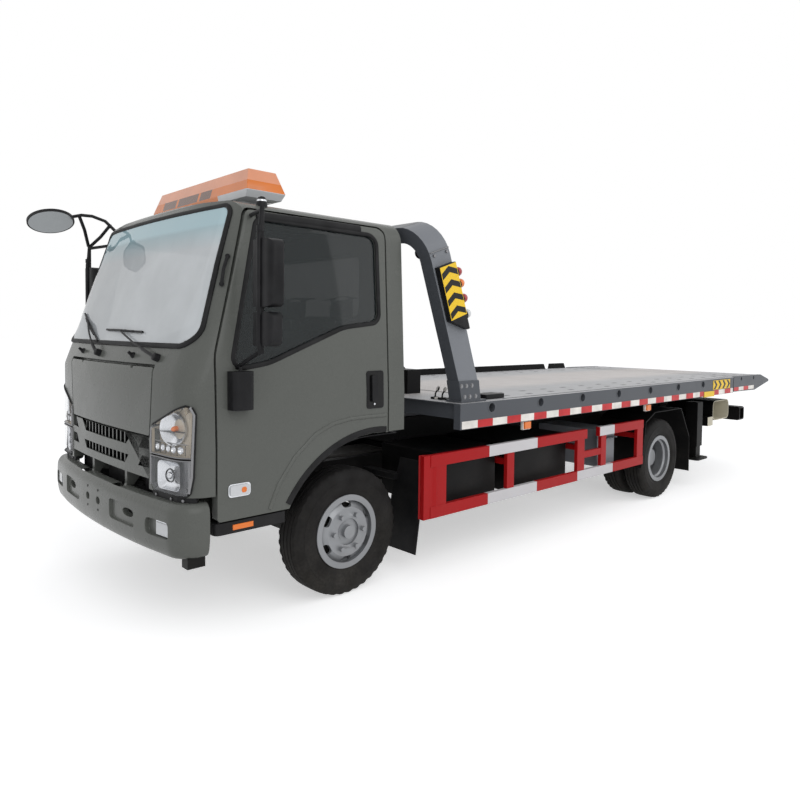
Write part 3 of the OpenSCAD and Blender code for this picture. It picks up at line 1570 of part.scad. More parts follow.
module winch_drum() {
    color([0.5, 0.5, 0.5]) translate([-winch_x, 0, winch_z]) about_axle() {
        translate([0, 0, -winch_half - 9]) cylinder(d = winch_pin_d, h = 2 * winch_half + 9);
        translate([0, 0, -winch_half + 30]) cylinder(r = drum_r, h = 2 * winch_half - 60);
        for (z = [-winch_half + 16, winch_half - 28]) translate([0, 0, z]) cylinder(r = 88, h = 12);
    }
}

in_frame() chassis_frame();
in_frame() powertrain();
in_frame() front_axle();
in_frame() rear_axle();
in_frame() leaf_springs();
in_frame() front_bumper();
in_frame() chassis_lamps();
in_frame() side_guards();
in_frame() tool_boxes();
in_frame() control_box();
in_frame() front_mudguards();
in_frame() rear_fenders();
in_frame() outrigger_housings();
in_frame() rear_beam();
in_frame() knuckle(1);  // knuckle_left
in_frame() knuckle(-1);  // knuckle_right
in_frame() tie_rod();
in_frame() front_wheel_at(1);  // front_wheel_left
in_frame() front_tyre_at(1);  // front_tyre_left
in_frame() front_wheel_at(-1);  // front_wheel_right
in_frame() front_tyre_at(-1);  // front_tyre_right
in_frame() rear_wheels_at(1);  // rear_wheels_left
in_frame() rear_tyres_at(1);  // rear_tyres_left
in_frame() rear_wheels_at(-1);  // rear_wheels_right
in_frame() rear_tyres_at(-1);  // rear_tyres_right
in_frame() cab_shell();
in_frame() cab_glass();
in_frame() grille();
in_frame() headlamps();
in_frame() light_bar();
in_frame() seats();
in_frame() dashboard();
in_frame() wipers();
in_frame() cab_steps();
in_frame() arch_liners();
in_frame() front_lid();
in_frame() door(1);  // door_left
in_frame() door_glass(1);  // door_glass_left
in_frame() mirror_stay(1);  // mirror_left
in_frame() door(-1);  // door_right
in_frame() door_glass(-1);  // door_glass_right
in_frame() mirror_stay(-1);  // mirror_right
in_frame() tilt_frame();
in_frame() tilt_barrels();
in_frame() tilt_rods();
in_frame() bed_deck();
in_frame() bed_tail();
in_frame() hoop();
in_frame() warning_boards();
in_frame() bed_lamps();
in_frame() bed_rail();
in_frame() winch_frame();
in_frame() winch_drum();
in_frame() outrigger_leg(1);  // outrigger_leg_left
in_frame() outrigger_leg(-1);  // outrigger_leg_right
in_frame() lift_boom();
in_frame() lift_slider();
in_frame() lift_bar();
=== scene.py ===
import bpy
import bmesh
import json
import math
from mathutils import Matrix, Vector
from mathutils.bvhtree import BVHTree


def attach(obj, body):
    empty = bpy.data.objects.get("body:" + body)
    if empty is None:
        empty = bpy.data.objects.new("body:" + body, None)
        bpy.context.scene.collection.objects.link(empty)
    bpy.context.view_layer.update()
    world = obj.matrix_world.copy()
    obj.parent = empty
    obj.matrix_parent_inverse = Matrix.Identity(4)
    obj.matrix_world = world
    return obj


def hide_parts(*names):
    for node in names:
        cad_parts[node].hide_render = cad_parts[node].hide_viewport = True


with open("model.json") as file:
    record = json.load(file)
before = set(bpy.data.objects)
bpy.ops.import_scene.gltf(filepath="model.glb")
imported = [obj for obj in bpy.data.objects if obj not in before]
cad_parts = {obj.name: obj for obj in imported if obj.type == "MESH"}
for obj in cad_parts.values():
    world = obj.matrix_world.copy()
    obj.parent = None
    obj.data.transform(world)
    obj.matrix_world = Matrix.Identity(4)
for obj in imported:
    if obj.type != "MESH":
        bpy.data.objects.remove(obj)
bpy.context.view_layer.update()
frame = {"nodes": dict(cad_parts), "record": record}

bodies = {node: body for body, nodes in frame["record"]["behaviour"]["bodies"].items() for node in nodes}
slots = {part["node"]: part["material_slot"] for part in frame["record"]["subparts"]}
frontAxle = Vector((2.6225, 0.0, 0.0))  # places below are counted from the front axle
print("frame loaded:", len(frame["nodes"]), "nodes")


def at(x, y, z):
    return frontAxle + Vector((x, y, z))


def linear(r, g, b):  # screen colour 0-255 to the shader's scale
    out = []
    for v in (r, g, b):
        v /= 255
        out.append(v / 12.92 if v <= 0.04045 else ((v + 0.055) / 1.055) ** 2.4)
    return (*out, 1.0)


# shader tools: a value is set on a socket, or linked to it when it comes from a node
def plug(tree, socket, value):
    if isinstance(value, (int, float, tuple)):
        socket.default_value = value
    else:
        tree.links.new(value, socket)


def plugAll(tree, inputs, values):  # Base_Color stands for Base Color
    for label, value in values.items():
        plug(tree, inputs[label.replace("_", " ")], value)


def addNode(tree, kind, **values):
    node = tree.nodes.new("ShaderNode" + kind)
    plugAll(tree, node.inputs, values)
    return node


def noise(tree, vector, scale, detail):
    return addNode(tree, "TexNoise", Vector=vector, Scale=scale, Detail=detail, Roughness=0.55).outputs["Fac"]


def ramp(tree, value, low, high, **ends):
    return addNode(tree, "MapRange", Value=value, From_Min=low, From_Max=high, **ends).outputs[0]


def calc(tree, how, a, b=0.0):
    node = tree.nodes.new("ShaderNodeMath")
    node.operation = how
    plug(tree, node.inputs[0], a)
    plug(tree, node.inputs[1], b)
    return node.outputs[0]


def times(tree, *values):
    product = values[0]
    for value in values[1:]:
        product = calc(tree, "MULTIPLY", product, value)
    return product


def mixColour(tree, factor, a, b):
    node = tree.nodes.new("ShaderNodeMix")
    node.data_type = "RGBA"
    for label, value in (("Factor", factor), ("A", a), ("B", b)):
        plug(tree, node.inputs[label], value)
    return node.outputs["Result"]


# camera and studio
cameraLook = {"place": (2.5535, 4.2026, 1.6359), "yaw": -2.3445, "pitch": -0.0404, "roll": 0.012,
              "focal": 676.909, "middle": (425.517, 358.242), "image": 800}


def makeCamera():
    look = cameraLook
    cp, sp = math.cos(look["pitch"]), math.sin(look["pitch"])
    forward = Vector((cp * math.cos(look["yaw"]), cp * math.sin(look["yaw"]), sp))
    right = forward.cross(Vector((0, 0, 1))).normalized()
    up = right.cross(forward)
    cr, sr = math.cos(look["roll"]), math.sin(look["roll"])
    side = right * cr + up * sr
    top = up * cr - right * sr
    data = bpy.data.cameras.new("photoCamera")
    data.sensor_width = 36
    data.lens = look["focal"] * 36 / look["image"]
    data.shift_x = 0.5 - look["middle"][0] / look["image"]
    data.shift_y = look["middle"][1] / look["image"] - 0.5
    data.clip_end = 200
    camera = bpy.data.objects.new("photoCamera", data)
    turn = Matrix((side, top, -forward)).transposed().to_4x4()
    camera.matrix_world = Matrix.Translation(at(*look["place"])) @ turn
    bpy.context.collection.objects.link(camera)
    bpy.context.scene.camera = camera


studio = {"world": 0.72, "sky": (0.97, 0.98, 1.0, 1), "floorColour": (0.8, 0.8, 0.8, 1), "floorGlow": 0.5,
          "floorSize": 90, "lampSize": 6.0,
          "lamps": {"keyLamp": (190, (1.5, 7.5, 5.0)), "fillLamp": (40, (6.5, -3.0, 5.0)),
                    "tailLamp": (90, (-6.5, 5.0, 5.0))}}


def seenByEye(tree):  # camera, glossy and transmitted rays as one factor
    path = tree.nodes.new("ShaderNodeLightPath").outputs
    factor = calc(tree, "MAXIMUM", path["Is Camera Ray"], path["Is Glossy Ray"])
    return calc(tree, "MAXIMUM", factor, path["Is Transmission Ray"])


def makeStudio():
    scene = bpy.context.scene
    scene.view_settings.view_transform = "Standard"
    world = bpy.data.worlds.new("paleWorld")
    scene.world = world
    world.use_nodes = True
    tree = world.node_tree
    back = tree.nodes["Background"]
    plugAll(tree, back.inputs, {"Color": studio["sky"], "Strength": studio["world"]})
    white = addNode(tree, "Background", Color=(1, 1, 1, 1))
    mix = tree.nodes.new("ShaderNodeMixShader")
    for i, value in enumerate((seenByEye(tree), back.outputs[0], white.outputs[0])):
        plug(tree, mix.inputs[i], value)
    plug(tree, tree.nodes["World Output"].inputs["Surface"], mix.outputs[0])

    bm = bmesh.new()
    bmesh.ops.create_grid(bm, x_segments=1, y_segments=1, size=studio["floorSize"])
    mesh = bpy.data.meshes.new("floor")
    bm.to_mesh(mesh)
    bm.free()
    floor = bpy.data.objects.new("floor", mesh)
    bpy.context.collection.objects.link(floor)
    mat = bpy.data.materials.new("paleFloor")
    mat.use_nodes = True
    tree = mat.node_tree
    plugAll(tree, tree.nodes["Principled BSDF"].inputs, {
        "Base Color": studio["floorColour"], "Roughness": 0.9, "Specular IOR Level": 0.0,
        "Emission Color": (1, 1, 1, 1),
        "Emission Strength": times(tree, seenByEye(tree), studio["floorGlow"])})
    mesh.materials.append(mat)

    for name, (watts, place) in studio["lamps"].items():
        lamp = bpy.data.lights.new(name, "AREA")
        lamp.energy = watts
        lamp.size = studio["lampSize"]
        obj = bpy.data.objects.new(name, lamp)
        obj.location = at(*place)
        obj.rotation_euler = (at(-1.5, 0, 1) - obj.location).to_track_quat("-Z", "Y").to_euler()
        bpy.context.collection.objects.link(obj)
    print("studio ready")


makeCamera()
makeStudio()


# shared shader groups
def groupStart(name, inputs, outputs):  # inputs give a socket's kind, or its first value
    group = bpy.data.node_groups.new(name, "ShaderNodeTree")
    for label, what in inputs.items():
        kind = what if isinstance(what, str) else "Color" if isinstance(what, tuple) else "Float"
        sock = group.interface.new_socket(name=label, in_out="INPUT", socket_type="NodeSocket" + kind)
        if kind != what:
            sock.default_value = what
    for label in outputs:
        kind = "NodeSocketColor" if label == "Colour" else "NodeSocketFloat"
        group.interface.new_socket(name=label, in_out="OUTPUT", socket_type=kind)
    return group, group.nodes.new("NodeGroupInput").outputs, group.nodes.new("NodeGroupOutput").inputs


def roadDirtGroup():  # dust that thickens towards the ground, broken up by noise
    tree, given, end = groupStart("roadDirt",
                                  {"Vector": "Vector", "Colour": "Color",
                                   "Dirt Colour": (0.18, 0.165, 0.14, 1),
                                               "Amount": 0.4, "Top": 1.2, "Roughness": 0.4},
                                               ["Colour", "Roughness"])
    where = given["Vector"]
    height = addNode(tree, "SeparateXYZ", Vector=where).outputs["Z"]
    low = calc(tree, "SUBTRACT", 1.0, calc(tree, "DIVIDE", height, given["Top"]))
    low = calc(tree, "MAXIMUM", low, 0.0)
    cloud = ramp(tree, noise(tree, where, 5.0, 6), 0.3, 0.75)
    speck = ramp(tree, noise(tree, where, 60.0, 3), 0.35, 0.7)
    mask = times(tree, cloud, calc(tree, "ADD", times(tree, speck, 0.5), 0.5))
    mask = times(tree, mask, low, given["Amount"])
    plug(tree, end["Colour"], mixColour(tree, mask, given["Colour"], given["Dirt Colour"]))
    plug(tree, end["Roughness"], calc(tree, "ADD", given["Roughness"], times(tree, mask, 0.45)))
    return tree


def paintSkinGroup():  # slow shade changes and the fine ripple of sprayed paint
    tree, given, end = groupStart("paintSkin",
                                  {"Vector": "Vector", "Colour": "Color", "Shade": 0.08, "Ripple": 220.0},
                                  ["Colour", "Height", "Gloss"])
    where = given["Vector"]
    tone = ramp(tree, noise(tree, where, 1.6, 5), 0.25, 0.75)
    scale = tree.nodes.new("ShaderNodeVectorMath")
    scale.operation = "SCALE"
    plug(tree, scale.inputs[0], given["Colour"])
    plug(tree, scale.inputs["Scale"], calc(tree, "SUBTRACT", 1.0, times(tree, tone, given["Shade"])))
    plug(tree, end["Colour"], scale.outputs[0])
    plug(tree, end["Height"], noise(tree, where, given["Ripple"], 2))
    plug(tree, end["Gloss"], ramp(tree, noise(tree, where, 9.0, 4), 0.3, 0.8))
    return tree


def grainGroup():  # moulded grain of plastic and rubber
    tree, given, end = groupStart("mouldGrain", {"Vector": "Vector", "Scale": 350.0}, ["Height", "Mottle"])
    cells = addNode(tree, "TexVoronoi", Vector=given["Vector"], Scale=given["Scale"])
    plug(tree, end["Height"], cells.outputs["Distance"])
    plug(tree, end["Mottle"], ramp(tree, noise(tree, given["Vector"], 7.0, 5), 0.3, 0.7))
    return tree


def treadGroup():  # tread plate: small raised bars laid two ways, and rows of slots along both edges, painted dark as painted shade in the holes
    tree, given, end = groupStart("treadPlate", {"Vector": "Vector", "Bar Pitch": 0.03, "Slot Pitch": 0.29,
                                                 "Inner Row": 0.79, "Outer Row": 0.97},
                                                 ["Height", "Slot", "Middle"])
    split = addNode(tree, "SeparateXYZ", Vector=given["Vector"])
    x, across = split.outputs["X"], calc(tree, "ABSOLUTE", split.outputs["Y"])

    def cell(value, pitch, shift):  # distance to the middle of the cell, in metres
        part = calc(tree, "ADD", calc(tree, "DIVIDE", value, pitch), shift)
        part = calc(tree, "SUBTRACT", calc(tree, "FRACT", part), 0.5)
        return times(tree, calc(tree, "ABSOLUTE", part), pitch)

    bars, rows = [], []
    for shift, long, thin in ((0.0, 0.011, 0.0035), (0.5, 0.0035, 0.011)):
        nx, ny = (calc(tree, "POWER", calc(tree, "DIVIDE", cell(v, given["Bar Pitch"], shift), reach), 2.0)
                  for v, reach in ((x, long), (across, thin)))
        bars.append(ramp(tree, calc(tree, "ADD", nx, ny), 1.2, 0.4))
    for row, shift in (("Inner Row", 0.0), ("Outer Row", 0.5)):
        off = calc(tree, "ABSOLUTE", calc(tree, "SUBTRACT", across, given[row]))
        dx = calc(tree, "MAXIMUM", calc(tree, "SUBTRACT", cell(x, given["Slot Pitch"], shift), 0.022), 0.0)
        reach = calc(tree, "SQRT", calc(tree, "ADD", times(tree, dx, dx), times(tree, off, off)))
        rows.append(ramp(tree, reach, 0.019, 0.017))
    plug(tree, end["Height"], calc(tree, "MAXIMUM", *bars))
    plug(tree, end["Slot"], calc(tree, "MAXIMUM", *rows))
    plug(tree, end["Middle"], ramp(tree, across, 0.62, 0.35))
    return tree


def weaveGroup():  # woven cover of the seats
    tree, given, end = groupStart("seatWeave", {"Vector": "Vector", "Threads": 420.0}, ["Height", "Tone"])
    waves = []
    for way in ("X", "Y"):
        wave = addNode(tree, "TexWave", Vector=given["Vector"], Scale=given["Threads"], Distortion=0.6)
        wave.bands_direction = way
        waves.append(wave.outputs["Fac"])
    plug(tree, end["Height"], times(tree, *waves))
    plug(tree, end["Tone"], ramp(tree, noise(tree, given["Vector"], 14.0, 4), 0.3, 0.7))
    return tree


roadDirt, paintSkin, mouldGrain = roadDirtGroup(), paintSkinGroup(), grainGroup()
treadPlate, seatWeave = treadGroup(), weaveGroup()


def newMaterial(name):
    mat = bpy.data.materials.new(name)
    mat.use_nodes = True
    tree = mat.node_tree
    coords = tree.nodes.new("ShaderNodeTexCoord")
    return mat, tree, tree.nodes["Principled BSDF"].inputs, coords.outputs["Object"]


def placeGroup(tree, group, **values):
    node = tree.nodes.new("ShaderNodeGroup")
    node.node_tree = group
    plugAll(tree, node.inputs, values)
    return node.outputs


def dress(tree, bsdf, height=None, strength=0.0, distance=0.001,
          **values):  # the shader's own values, and a bump
    plugAll(tree, bsdf, values)
    if height is not None:
        bump = addNode(tree, "Bump", Strength=strength, Distance=distance, Height=height)
        plug(tree, bsdf["Normal"], bump.outputs["Normal"])


def sprayPaint(name, colour, rough, coat, dirt, dirtTop, shade=0.08, ripple=0.05, shine=0.3):
    mat, tree, bsdf, where = newMaterial(name)
    skin = placeGroup(tree, paintSkin, Vector=where, Colour=colour, Shade=shade)
    wet = calc(tree, "ADD", rough, times(tree, skin["Gloss"], 0.08))
    dust = placeGroup(tree, roadDirt, Vector=where, Colour=skin["Colour"], Amount=dirt, Top=dirtTop,
                      Roughness=wet)
    dress(tree, bsdf, skin["Height"], ripple, 0.002, Base_Color=dust["Colour"], Roughness=dust["Roughness"],
          Coat_Weight=coat, Coat_Roughness=0.08, Specular_IOR_Level=shine)
    return mat


def mouldedPlastic(name, colour, rough, scale, dirt, dirtTop, bump=0.25, shine=0.22):
    mat, tree, bsdf, where = newMaterial(name)
    grain = placeGroup(tree, mouldGrain, Vector=where, Scale=scale)
    pale = tuple(min(1, v * 1.5 + 0.008) for v in colour[:3]) + (1,)
    mixed = mixColour(tree, grain["Mottle"], colour, pale)
    dust = placeGroup(tree, roadDirt, Vector=where, Colour=mixed, Amount=dirt, Top=dirtTop, Roughness=rough)
    dress(tree, bsdf, grain["Height"], bump, 0.0008, Base_Color=dust["Colour"], Roughness=dust["Roughness"],
          Specular_IOR_Level=shine)
    return mat


def brushedMetal(name, colour, rough, metallic, dirt, dirtTop):
    mat, tree, bsdf, where = newMaterial(name)
    skin = placeGroup(tree, paintSkin, Vector=where, Colour=colour, Shade=0.25, Ripple=500.0)
    worn = calc(tree, "ADD", rough, times(tree, skin["Gloss"], 0.15))
    dust = placeGroup(tree, roadDirt, Vector=where, Colour=skin["Colour"], Amount=dirt, Top=dirtTop,
                      Roughness=worn)
    dress(tree, bsdf, skin["Height"], 0.03, 0.001, Base_Color=dust["Colour"], Roughness=dust["Roughness"],
          Metallic=metallic)
    return mat


def lampLens(name, colour, glow, rough=0.12, rib=180.0, alpha=1.0):
    mat, tree, bsdf, where = newMaterial(name)
    skin = placeGroup(tree, paintSkin, Vector=where, Colour=colour, Shade=0.35, Ripple=rib)
    dress(tree, bsdf, skin["Height"], 0.15, 0.002, Base_Color=skin["Colour"], Roughness=rough,
          Coat_Weight=0.3,
          Specular_IOR_Level=0.35, Alpha=alpha)
    if glow:
        dress(tree, bsdf, Emission_Color=skin["Colour"], Emission_Strength=glow)
    return mat


def clearPane(name, colour, alpha, shine, reflectionAndTint=None):  # painted reflection in pale patches over the glass, and a tint along its top edge
    mat, tree, bsdf, where = newMaterial(name)
    shown = placeGroup(tree, paintSkin, Vector=where, Colour=colour, Shade=0.25)["Colour"]
    if reflectionAndTint:
        height = addNode(tree, "SeparateXYZ", Vector=where).outputs["Z"]
        mask = ramp(tree, height, *reflectionAndTint["edge"])
        shown = mixColour(tree, mask, shown, reflectionAndTint["edgeColour"])
        # painted reflection: noise patches make the pale glass more opaque
        cloud = ramp(tree, noise(tree, where, reflectionAndTint["scale"], 5), 0.42, 0.6, To_Min=reflectionAndTint["clear"],
                     To_Max=reflectionAndTint["cloudy"])
        alpha = calc(tree, "MAXIMUM", cloud, times(tree, mask, reflectionAndTint["edgeAlpha"]))
    dress(tree, bsdf, Base_Color=shown, Alpha=alpha, Roughness=0.03, Specular_IOR_Level=shine)
    return mat


def treadMetal(name, colour, middle, slot, rough):  # deck plate with its bars, its slots painted dark as painted shade in the holes, and a lighter middle
    mat, tree, bsdf, where = newMaterial(name)
    tread = placeGroup(tree, treadPlate, Vector=where)
    base = mixColour(tree, tread["Middle"], colour, middle)
    skin = placeGroup(tree, paintSkin, Vector=where, Colour=base, Shade=0.18, Ripple=120.0)
    worn = mixColour(tree, times(tree, tread["Height"], 0.25), skin["Colour"], (0.75, 0.74, 0.73, 1))
    dress(tree, bsdf, tread["Height"], 0.5, 0.0015, Base_Color=mixColour(tree, tread["Slot"], worn, slot),
          Roughness=calc(tree, "ADD", rough, times(tree, skin["Gloss"], 0.15)))
    return mat


def wovenCloth(name, colour, pale):
    mat, tree, bsdf, where = newMaterial(name)
    weave = placeGroup(tree, seatWeave, Vector=where)
    dress(tree, bsdf, weave["Height"], 0.5, 0.001, Base_Color=mixColour(tree, weave["Tone"], colour, pale),
          Roughness=0.92, Sheen_Weight=0.3)
    return mat


paints = {  # colour, roughness, coat, dirt, top of the dirt, then shade, ripple and shine
    "cabPaint": ((93, 95, 91), 0.24, 0.06, 0.22, 0.85, 0.08, 0.02, 0.16),
    "bedPaint": ((80, 83, 88), 0.34, 0.05, 0.18, 0.9, 0.08, 0.03, 0.2),
    "coverPaint": ((122, 125, 130), 0.36, 0.05, 0.1, 0.9, 0.08, 0.03, 0.2),
    "blackPaint": ((13, 13, 14), 0.42, 0.0, 0.15, 0.9, 0.2, 0.05, 0.12),
    "redPaint": ((166, 16, 20), 0.35, 0.04, 0.12, 0.9, 0.08, 0.05, 0.14),
    "whitePaint": ((206, 204, 206), 0.38, 0.05, 0.15, 0.9, 0.08, 0.05, 0.2),
    "yellowPaint": ((240, 198, 34), 0.4, 0.1, 0.05, 1.0),
    "glossBlack": ((11, 11, 12), 0.25, 0.0, 0.05, 1.0, 0.08, 0.05, 0.25),
    "lampCream": ((196, 184, 164), 0.3, 0.3, 0.0, 1.0, 0.12),
    "creamPaint": ((206, 200, 180), 0.5, 0.1, 0.2, 1.2)}
plastics = {  # colour, roughness, grain, dirt, top of the dirt, then bump and shine
    "tapeRed": ((172, 34, 38), 0.3, 260, 0.1, 1.1, 0.15),
    "tapeWhite": ((206, 202, 196), 0.3, 260, 0.1, 1.1, 0.15),
    "blackPlastic": ((17, 17, 19), 0.46, 350, 0.12, 1.0, 0.15, 0.16),
    "sealRubber": ((18, 18, 19), 0.6, 500, 0.05, 1.0, 0.15, 0.18),
    "rubber": ((19, 18, 18), 0.7, 180, 0.25, 0.8, 0.25, 0.12)}
metals = {  # colour, roughness, metallic, dirt, top of the dirt
    "wheelSilver": ((146, 148, 151), 0.34, 0.55, 0.25, 0.8),
    "castIron": ((54, 53, 52), 0.6, 0.4, 0.5, 1.0),
    "chrome": ((216, 218, 222), 0.12, 0.95, 0.05, 1.0),
    "bareSteel": ((140, 140, 142), 0.38, 0.8, 0.3, 1.0),
    "mirrorFace": ((150, 154, 156), 0.06, 0.9, 0.05, 1.0)}
lenses = {  # colour, glow, then roughness, ribs and alpha
    "amberLens": ((232, 118, 30), 0.1), "amberPane": ((228, 122, 30), 0.1, 0.1, 90.0, 0.9),
    # the next two are lit and shaded copies of the amber: painted highlight on the light bar's top, painted shade on
    # its units
    "amberPale": ((236, 158, 120), 0.08, 0.1, 90.0, 0.94),
    "amberShade": ((112, 72, 52), 0.02, 0.1, 60.0, 0.96),
    "redLens": ((170, 22, 30), 0.06), "whiteLens": ((214, 216, 218), 0.0)}
# the windscreen's painted reflection and the tint along its top
screenReflectionAndTint = {"edge": (2.06, 2.2), "edgeColour": linear(176, 206, 214), "edgeAlpha": 0.82, "scale": 0.7,
              "clear": 0.68, "cloudy": 0.8}
panes = {  # colour, alpha, shine, then painted reflection and tint
    # screenGlass is pale as painted reflection
    "screenGlass": ((226, 231, 234), 0.4, 0.6, screenReflectionAndTint), "sideGlass": ((38, 44, 45), 0.66, 0.4),
    "clearLens": ((228, 231, 234), 0.12, 0.5)}
finishes = {name: maker(name, linear(*colour), *values)
            for maker, table in ((sprayPaint, paints), (mouldedPlastic, plastics), (brushedMetal, metals),
                                 (lampLens, lenses),
                                 (clearPane, panes))
            for name, (colour, *values) in table.items()}
# the last colour of the deck plate is the painted shade in its slots
finishes["deckPlate"] = treadMetal("deckPlate", linear(172, 172, 174), linear(196, 190, 187),
                                   linear(46, 47, 50), 0.45)
finishes["seatCloth"] = wovenCloth("seatCloth", linear(50, 51, 54), linear(70, 71, 75))
print("finishes ready:", len(finishes))


# building tools
def finishPiece(bm, name, material, body, smooth=35, replaces=(), outward=True, bevel=0.0):
    bmesh.ops.remove_doubles(bm, verts=bm.verts, dist=0.00002)
    if outward:
        bmesh.ops.recalc_face_normals(bm, faces=bm.faces)
    for edge in bm.edges:
        edge.smooth = len(edge.link_faces) == 2 and edge.calc_face_angle(0) < math.radians(smooth)
    for face in bm.faces:
        face.smooth = True
    mesh = bpy.data.meshes.new(name)
    bm.to_mesh(mesh)
    bm.free()
    for mat in (material if isinstance(material, list) else [material]):
        mesh.materials.append(finishes[mat])
    obj = bpy.data.objects.new(name, mesh)
    bpy.context.collection.objects.link(obj)
    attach(obj, body)
    if replaces:
        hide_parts(*replaces)
    if bevel:
        softenEdges(obj, bevel)
    return obj


softLook = {"segments": 2, "angle": math.radians(40)}


def softenEdges(obj, width):  # outer corners only, so a fillet never fills a joint's gap
    bm = bmesh.new()
    bm.from_mesh(obj.data)
    weight = bm.edges.layers.float.new("bevel_weight_edge")
    for edge in bm.edges:
        if len(edge.link_faces) == 2 and edge.is_convex and edge.calc_face_angle() > softLook["angle"]:
            edge[weight] = 1
    bm.to_mesh(obj.data)
    bm.free()
    mod = obj.modifiers.new("softEdges", "BEVEL")
    mod.width = width
    mod.segments = softLook["segments"]
    mod.limit_method = "WEIGHT"
    mod.harden_normals = True


def mergedCopy(node, flat=True):  # a CAD node's mesh, triangles and flat faces joined up again
    bm = bmesh.new()
    bm.from_mesh(frame["nodes"][node].data)
    bmesh.ops.remove_doubles(bm, verts=bm.verts, dist=0.00002)
    if flat:
        bmesh.ops.dissolve_limit(bm, angle_limit=math.radians(0.5), verts=bm.verts, edges=bm.edges)
    return bm


def dressNode(node, material, bevel=0.0, choose=None, cuts=(), flat=True, moved=None):
    bm = mergedCopy(node, flat)
    for v in bm.verts if moved else ():
        v.co = moved(v.co)
    for axis, place in cuts:
        bmesh.ops.bisect_plane(bm, geom=bm.verts[:] + bm.edges[:] + bm.faces[:], plane_co=place,
                               plane_no=[int(i == axis) for i in range(3)], dist=0.00001)
    for face in bm.faces if choose else ():  # choose gives a face its material's number
        face.material_index = choose(face.calc_center_median() - frontAxle, face.normal)
    finishPiece(bm, node + "Skin", material, bodies[node], 32, (node,), False, bevel)


def paintFaces(verts, mat):
    for face in {face for vert in verts for face in vert.link_faces}:
        face.material_index = mat


def boxShape(bm, low, high, mat=0):
    low, high = at(*low), at(*high)
    verts = bmesh.ops.create_cube(bm, size=1.0)["verts"]
    for vert in verts:
        vert.co = Vector([(low[i] + high[i]) / 2 + vert.co[i] * abs(high[i] - low[i]) for i in range(3)])
    paintFaces(verts, mat)


def tubeShape(bm, a, b, r0, r1=None, sides=20, mat=0):  # a and b are finished places
    span = b - a
    turn = span.to_track_quat("Z", "Y").to_matrix().to_4x4()
    verts = bmesh.ops.create_cone(bm, cap_ends=True, segments=sides, radius1=r0,
                                  radius2=r0 if r1 is None else r1,
                                  depth=span.length, matrix=Matrix.Translation((a + b) / 2) @ turn)["verts"]
    paintFaces(verts, mat)


def turnedShape(bm, profile, centre, axis, steps=32, mat=0):  # (radius, height) pairs turned about an axis
    axis = Vector(axis).normalized()
    side = axis.orthogonal().normalized()
    verts = [bm.verts.new(centre + side * r + axis * h) for r, h in profile]
    edges = [bm.edges.new(verts[i:i + 2]) for i in range(len(verts) - 1)]
    before = len(bm.faces)
    bmesh.ops.spin(bm, geom=verts + edges, cent=centre, axis=axis, dvec=(0, 0, 0), angle=2 * math.pi,
                   steps=steps,
                   use_merge=True)
    bm.faces.ensure_lookup_table()
    for face in bm.faces[before:]:
        face.material_index = mat


def panelShape(bm, points, depth, mat=0):  # flat panel through finished places, as thick as depth
    front = [bm.verts.new(p) for p in points]
    back = [bm.verts.new(p + depth) for p in points]
    faces = [bm.faces.new(front), bm.faces.new(back[::-1])]
    for i in range(len(points)):
        faces.append(bm.faces.new((front[i - 1], back[i - 1], back[i], front[i])))
    for face in faces:
        face.material_index = mat


def roundCorners(points, steps=6):  # (x, y, radius) corners to an outline
    out = []
    for i, (x, y, r) in enumerate(points):
        here = Vector((x, y))
        if not r:
            out.append(here)
            continue
        u = (Vector(points[i - 1][:2]) - here).normalized()
        v = (Vector(points[(i + 1) % len(points)][:2]) - here).normalized()
        half = math.acos(max(-1, min(1, u.dot(v)))) / 2
        centre = here + (u + v).normalized() * r / math.sin(half)
        a = here + u * r / math.tan(half) - centre
        b = here + v * r / math.tan(half) - centre
        start = math.atan2(a.y, a.x)
        sweep = (math.atan2(b.y, b.x) - start + math.pi) % (2 * math.pi) - math.pi
        out += [centre + r * Vector((math.cos(start + sweep * k / steps),
                                     math.sin(start + sweep * k / steps)))
                for k in range(steps + 1)]
    return out


def denser(path, step, closed=True):  # more points on the long stretches of an outline
    out = []
    for i in range(len(path) if closed else len(path) - 1):
        a, b = Vector(path[i]), Vector(path[(i + 1) % len(path)])
        n = max(1, math.ceil((b - a).length / step))
        out += [a.lerp(b, k / n) for k in range(n)]
    return out if closed else out + [Vector(path[-1])]


def surfaceOf(*names):  # target of the rays that lay trim on the CAD nodes
    verts, faces = [], []
    for name in names:
        mesh = frame["nodes"][name].data
        base = len(verts)
        verts += [v.co.copy() for v in mesh.vertices]
        faces += [[base + i for i in p.vertices] for p in mesh.polygons]
    return BVHTree.FromPolygons(verts, faces)


cabTree = surfaceOf("cab_shell", "door_left", "door_right", "door_glass_left", "door_glass_right",
                    "cab_glass", "front_lid",
                    "grille", "headlamps")


def caster(place, way, tree):  # lays a view's (across, up) on the first face met along the view
    return lambda p: tree.ray_cast(place(*p), Vector(way))[:2]


def fromSide(side):  # (x, z) on the outer face, left 1 or right -1
    return caster(lambda x, z: at(x, side * 2.0, z), (0, -side, 0), cabTree)


def fromFront(tree=cabTree):  # (y, z) on the front
    return caster(lambda y, z: at(3.0, y, z), (-1, 0, 0), tree)


def fromBack():  # (y, z) on the back
    return caster(lambda y, z: at(-3.0, y, z), (1, 0, 0), cabTree)


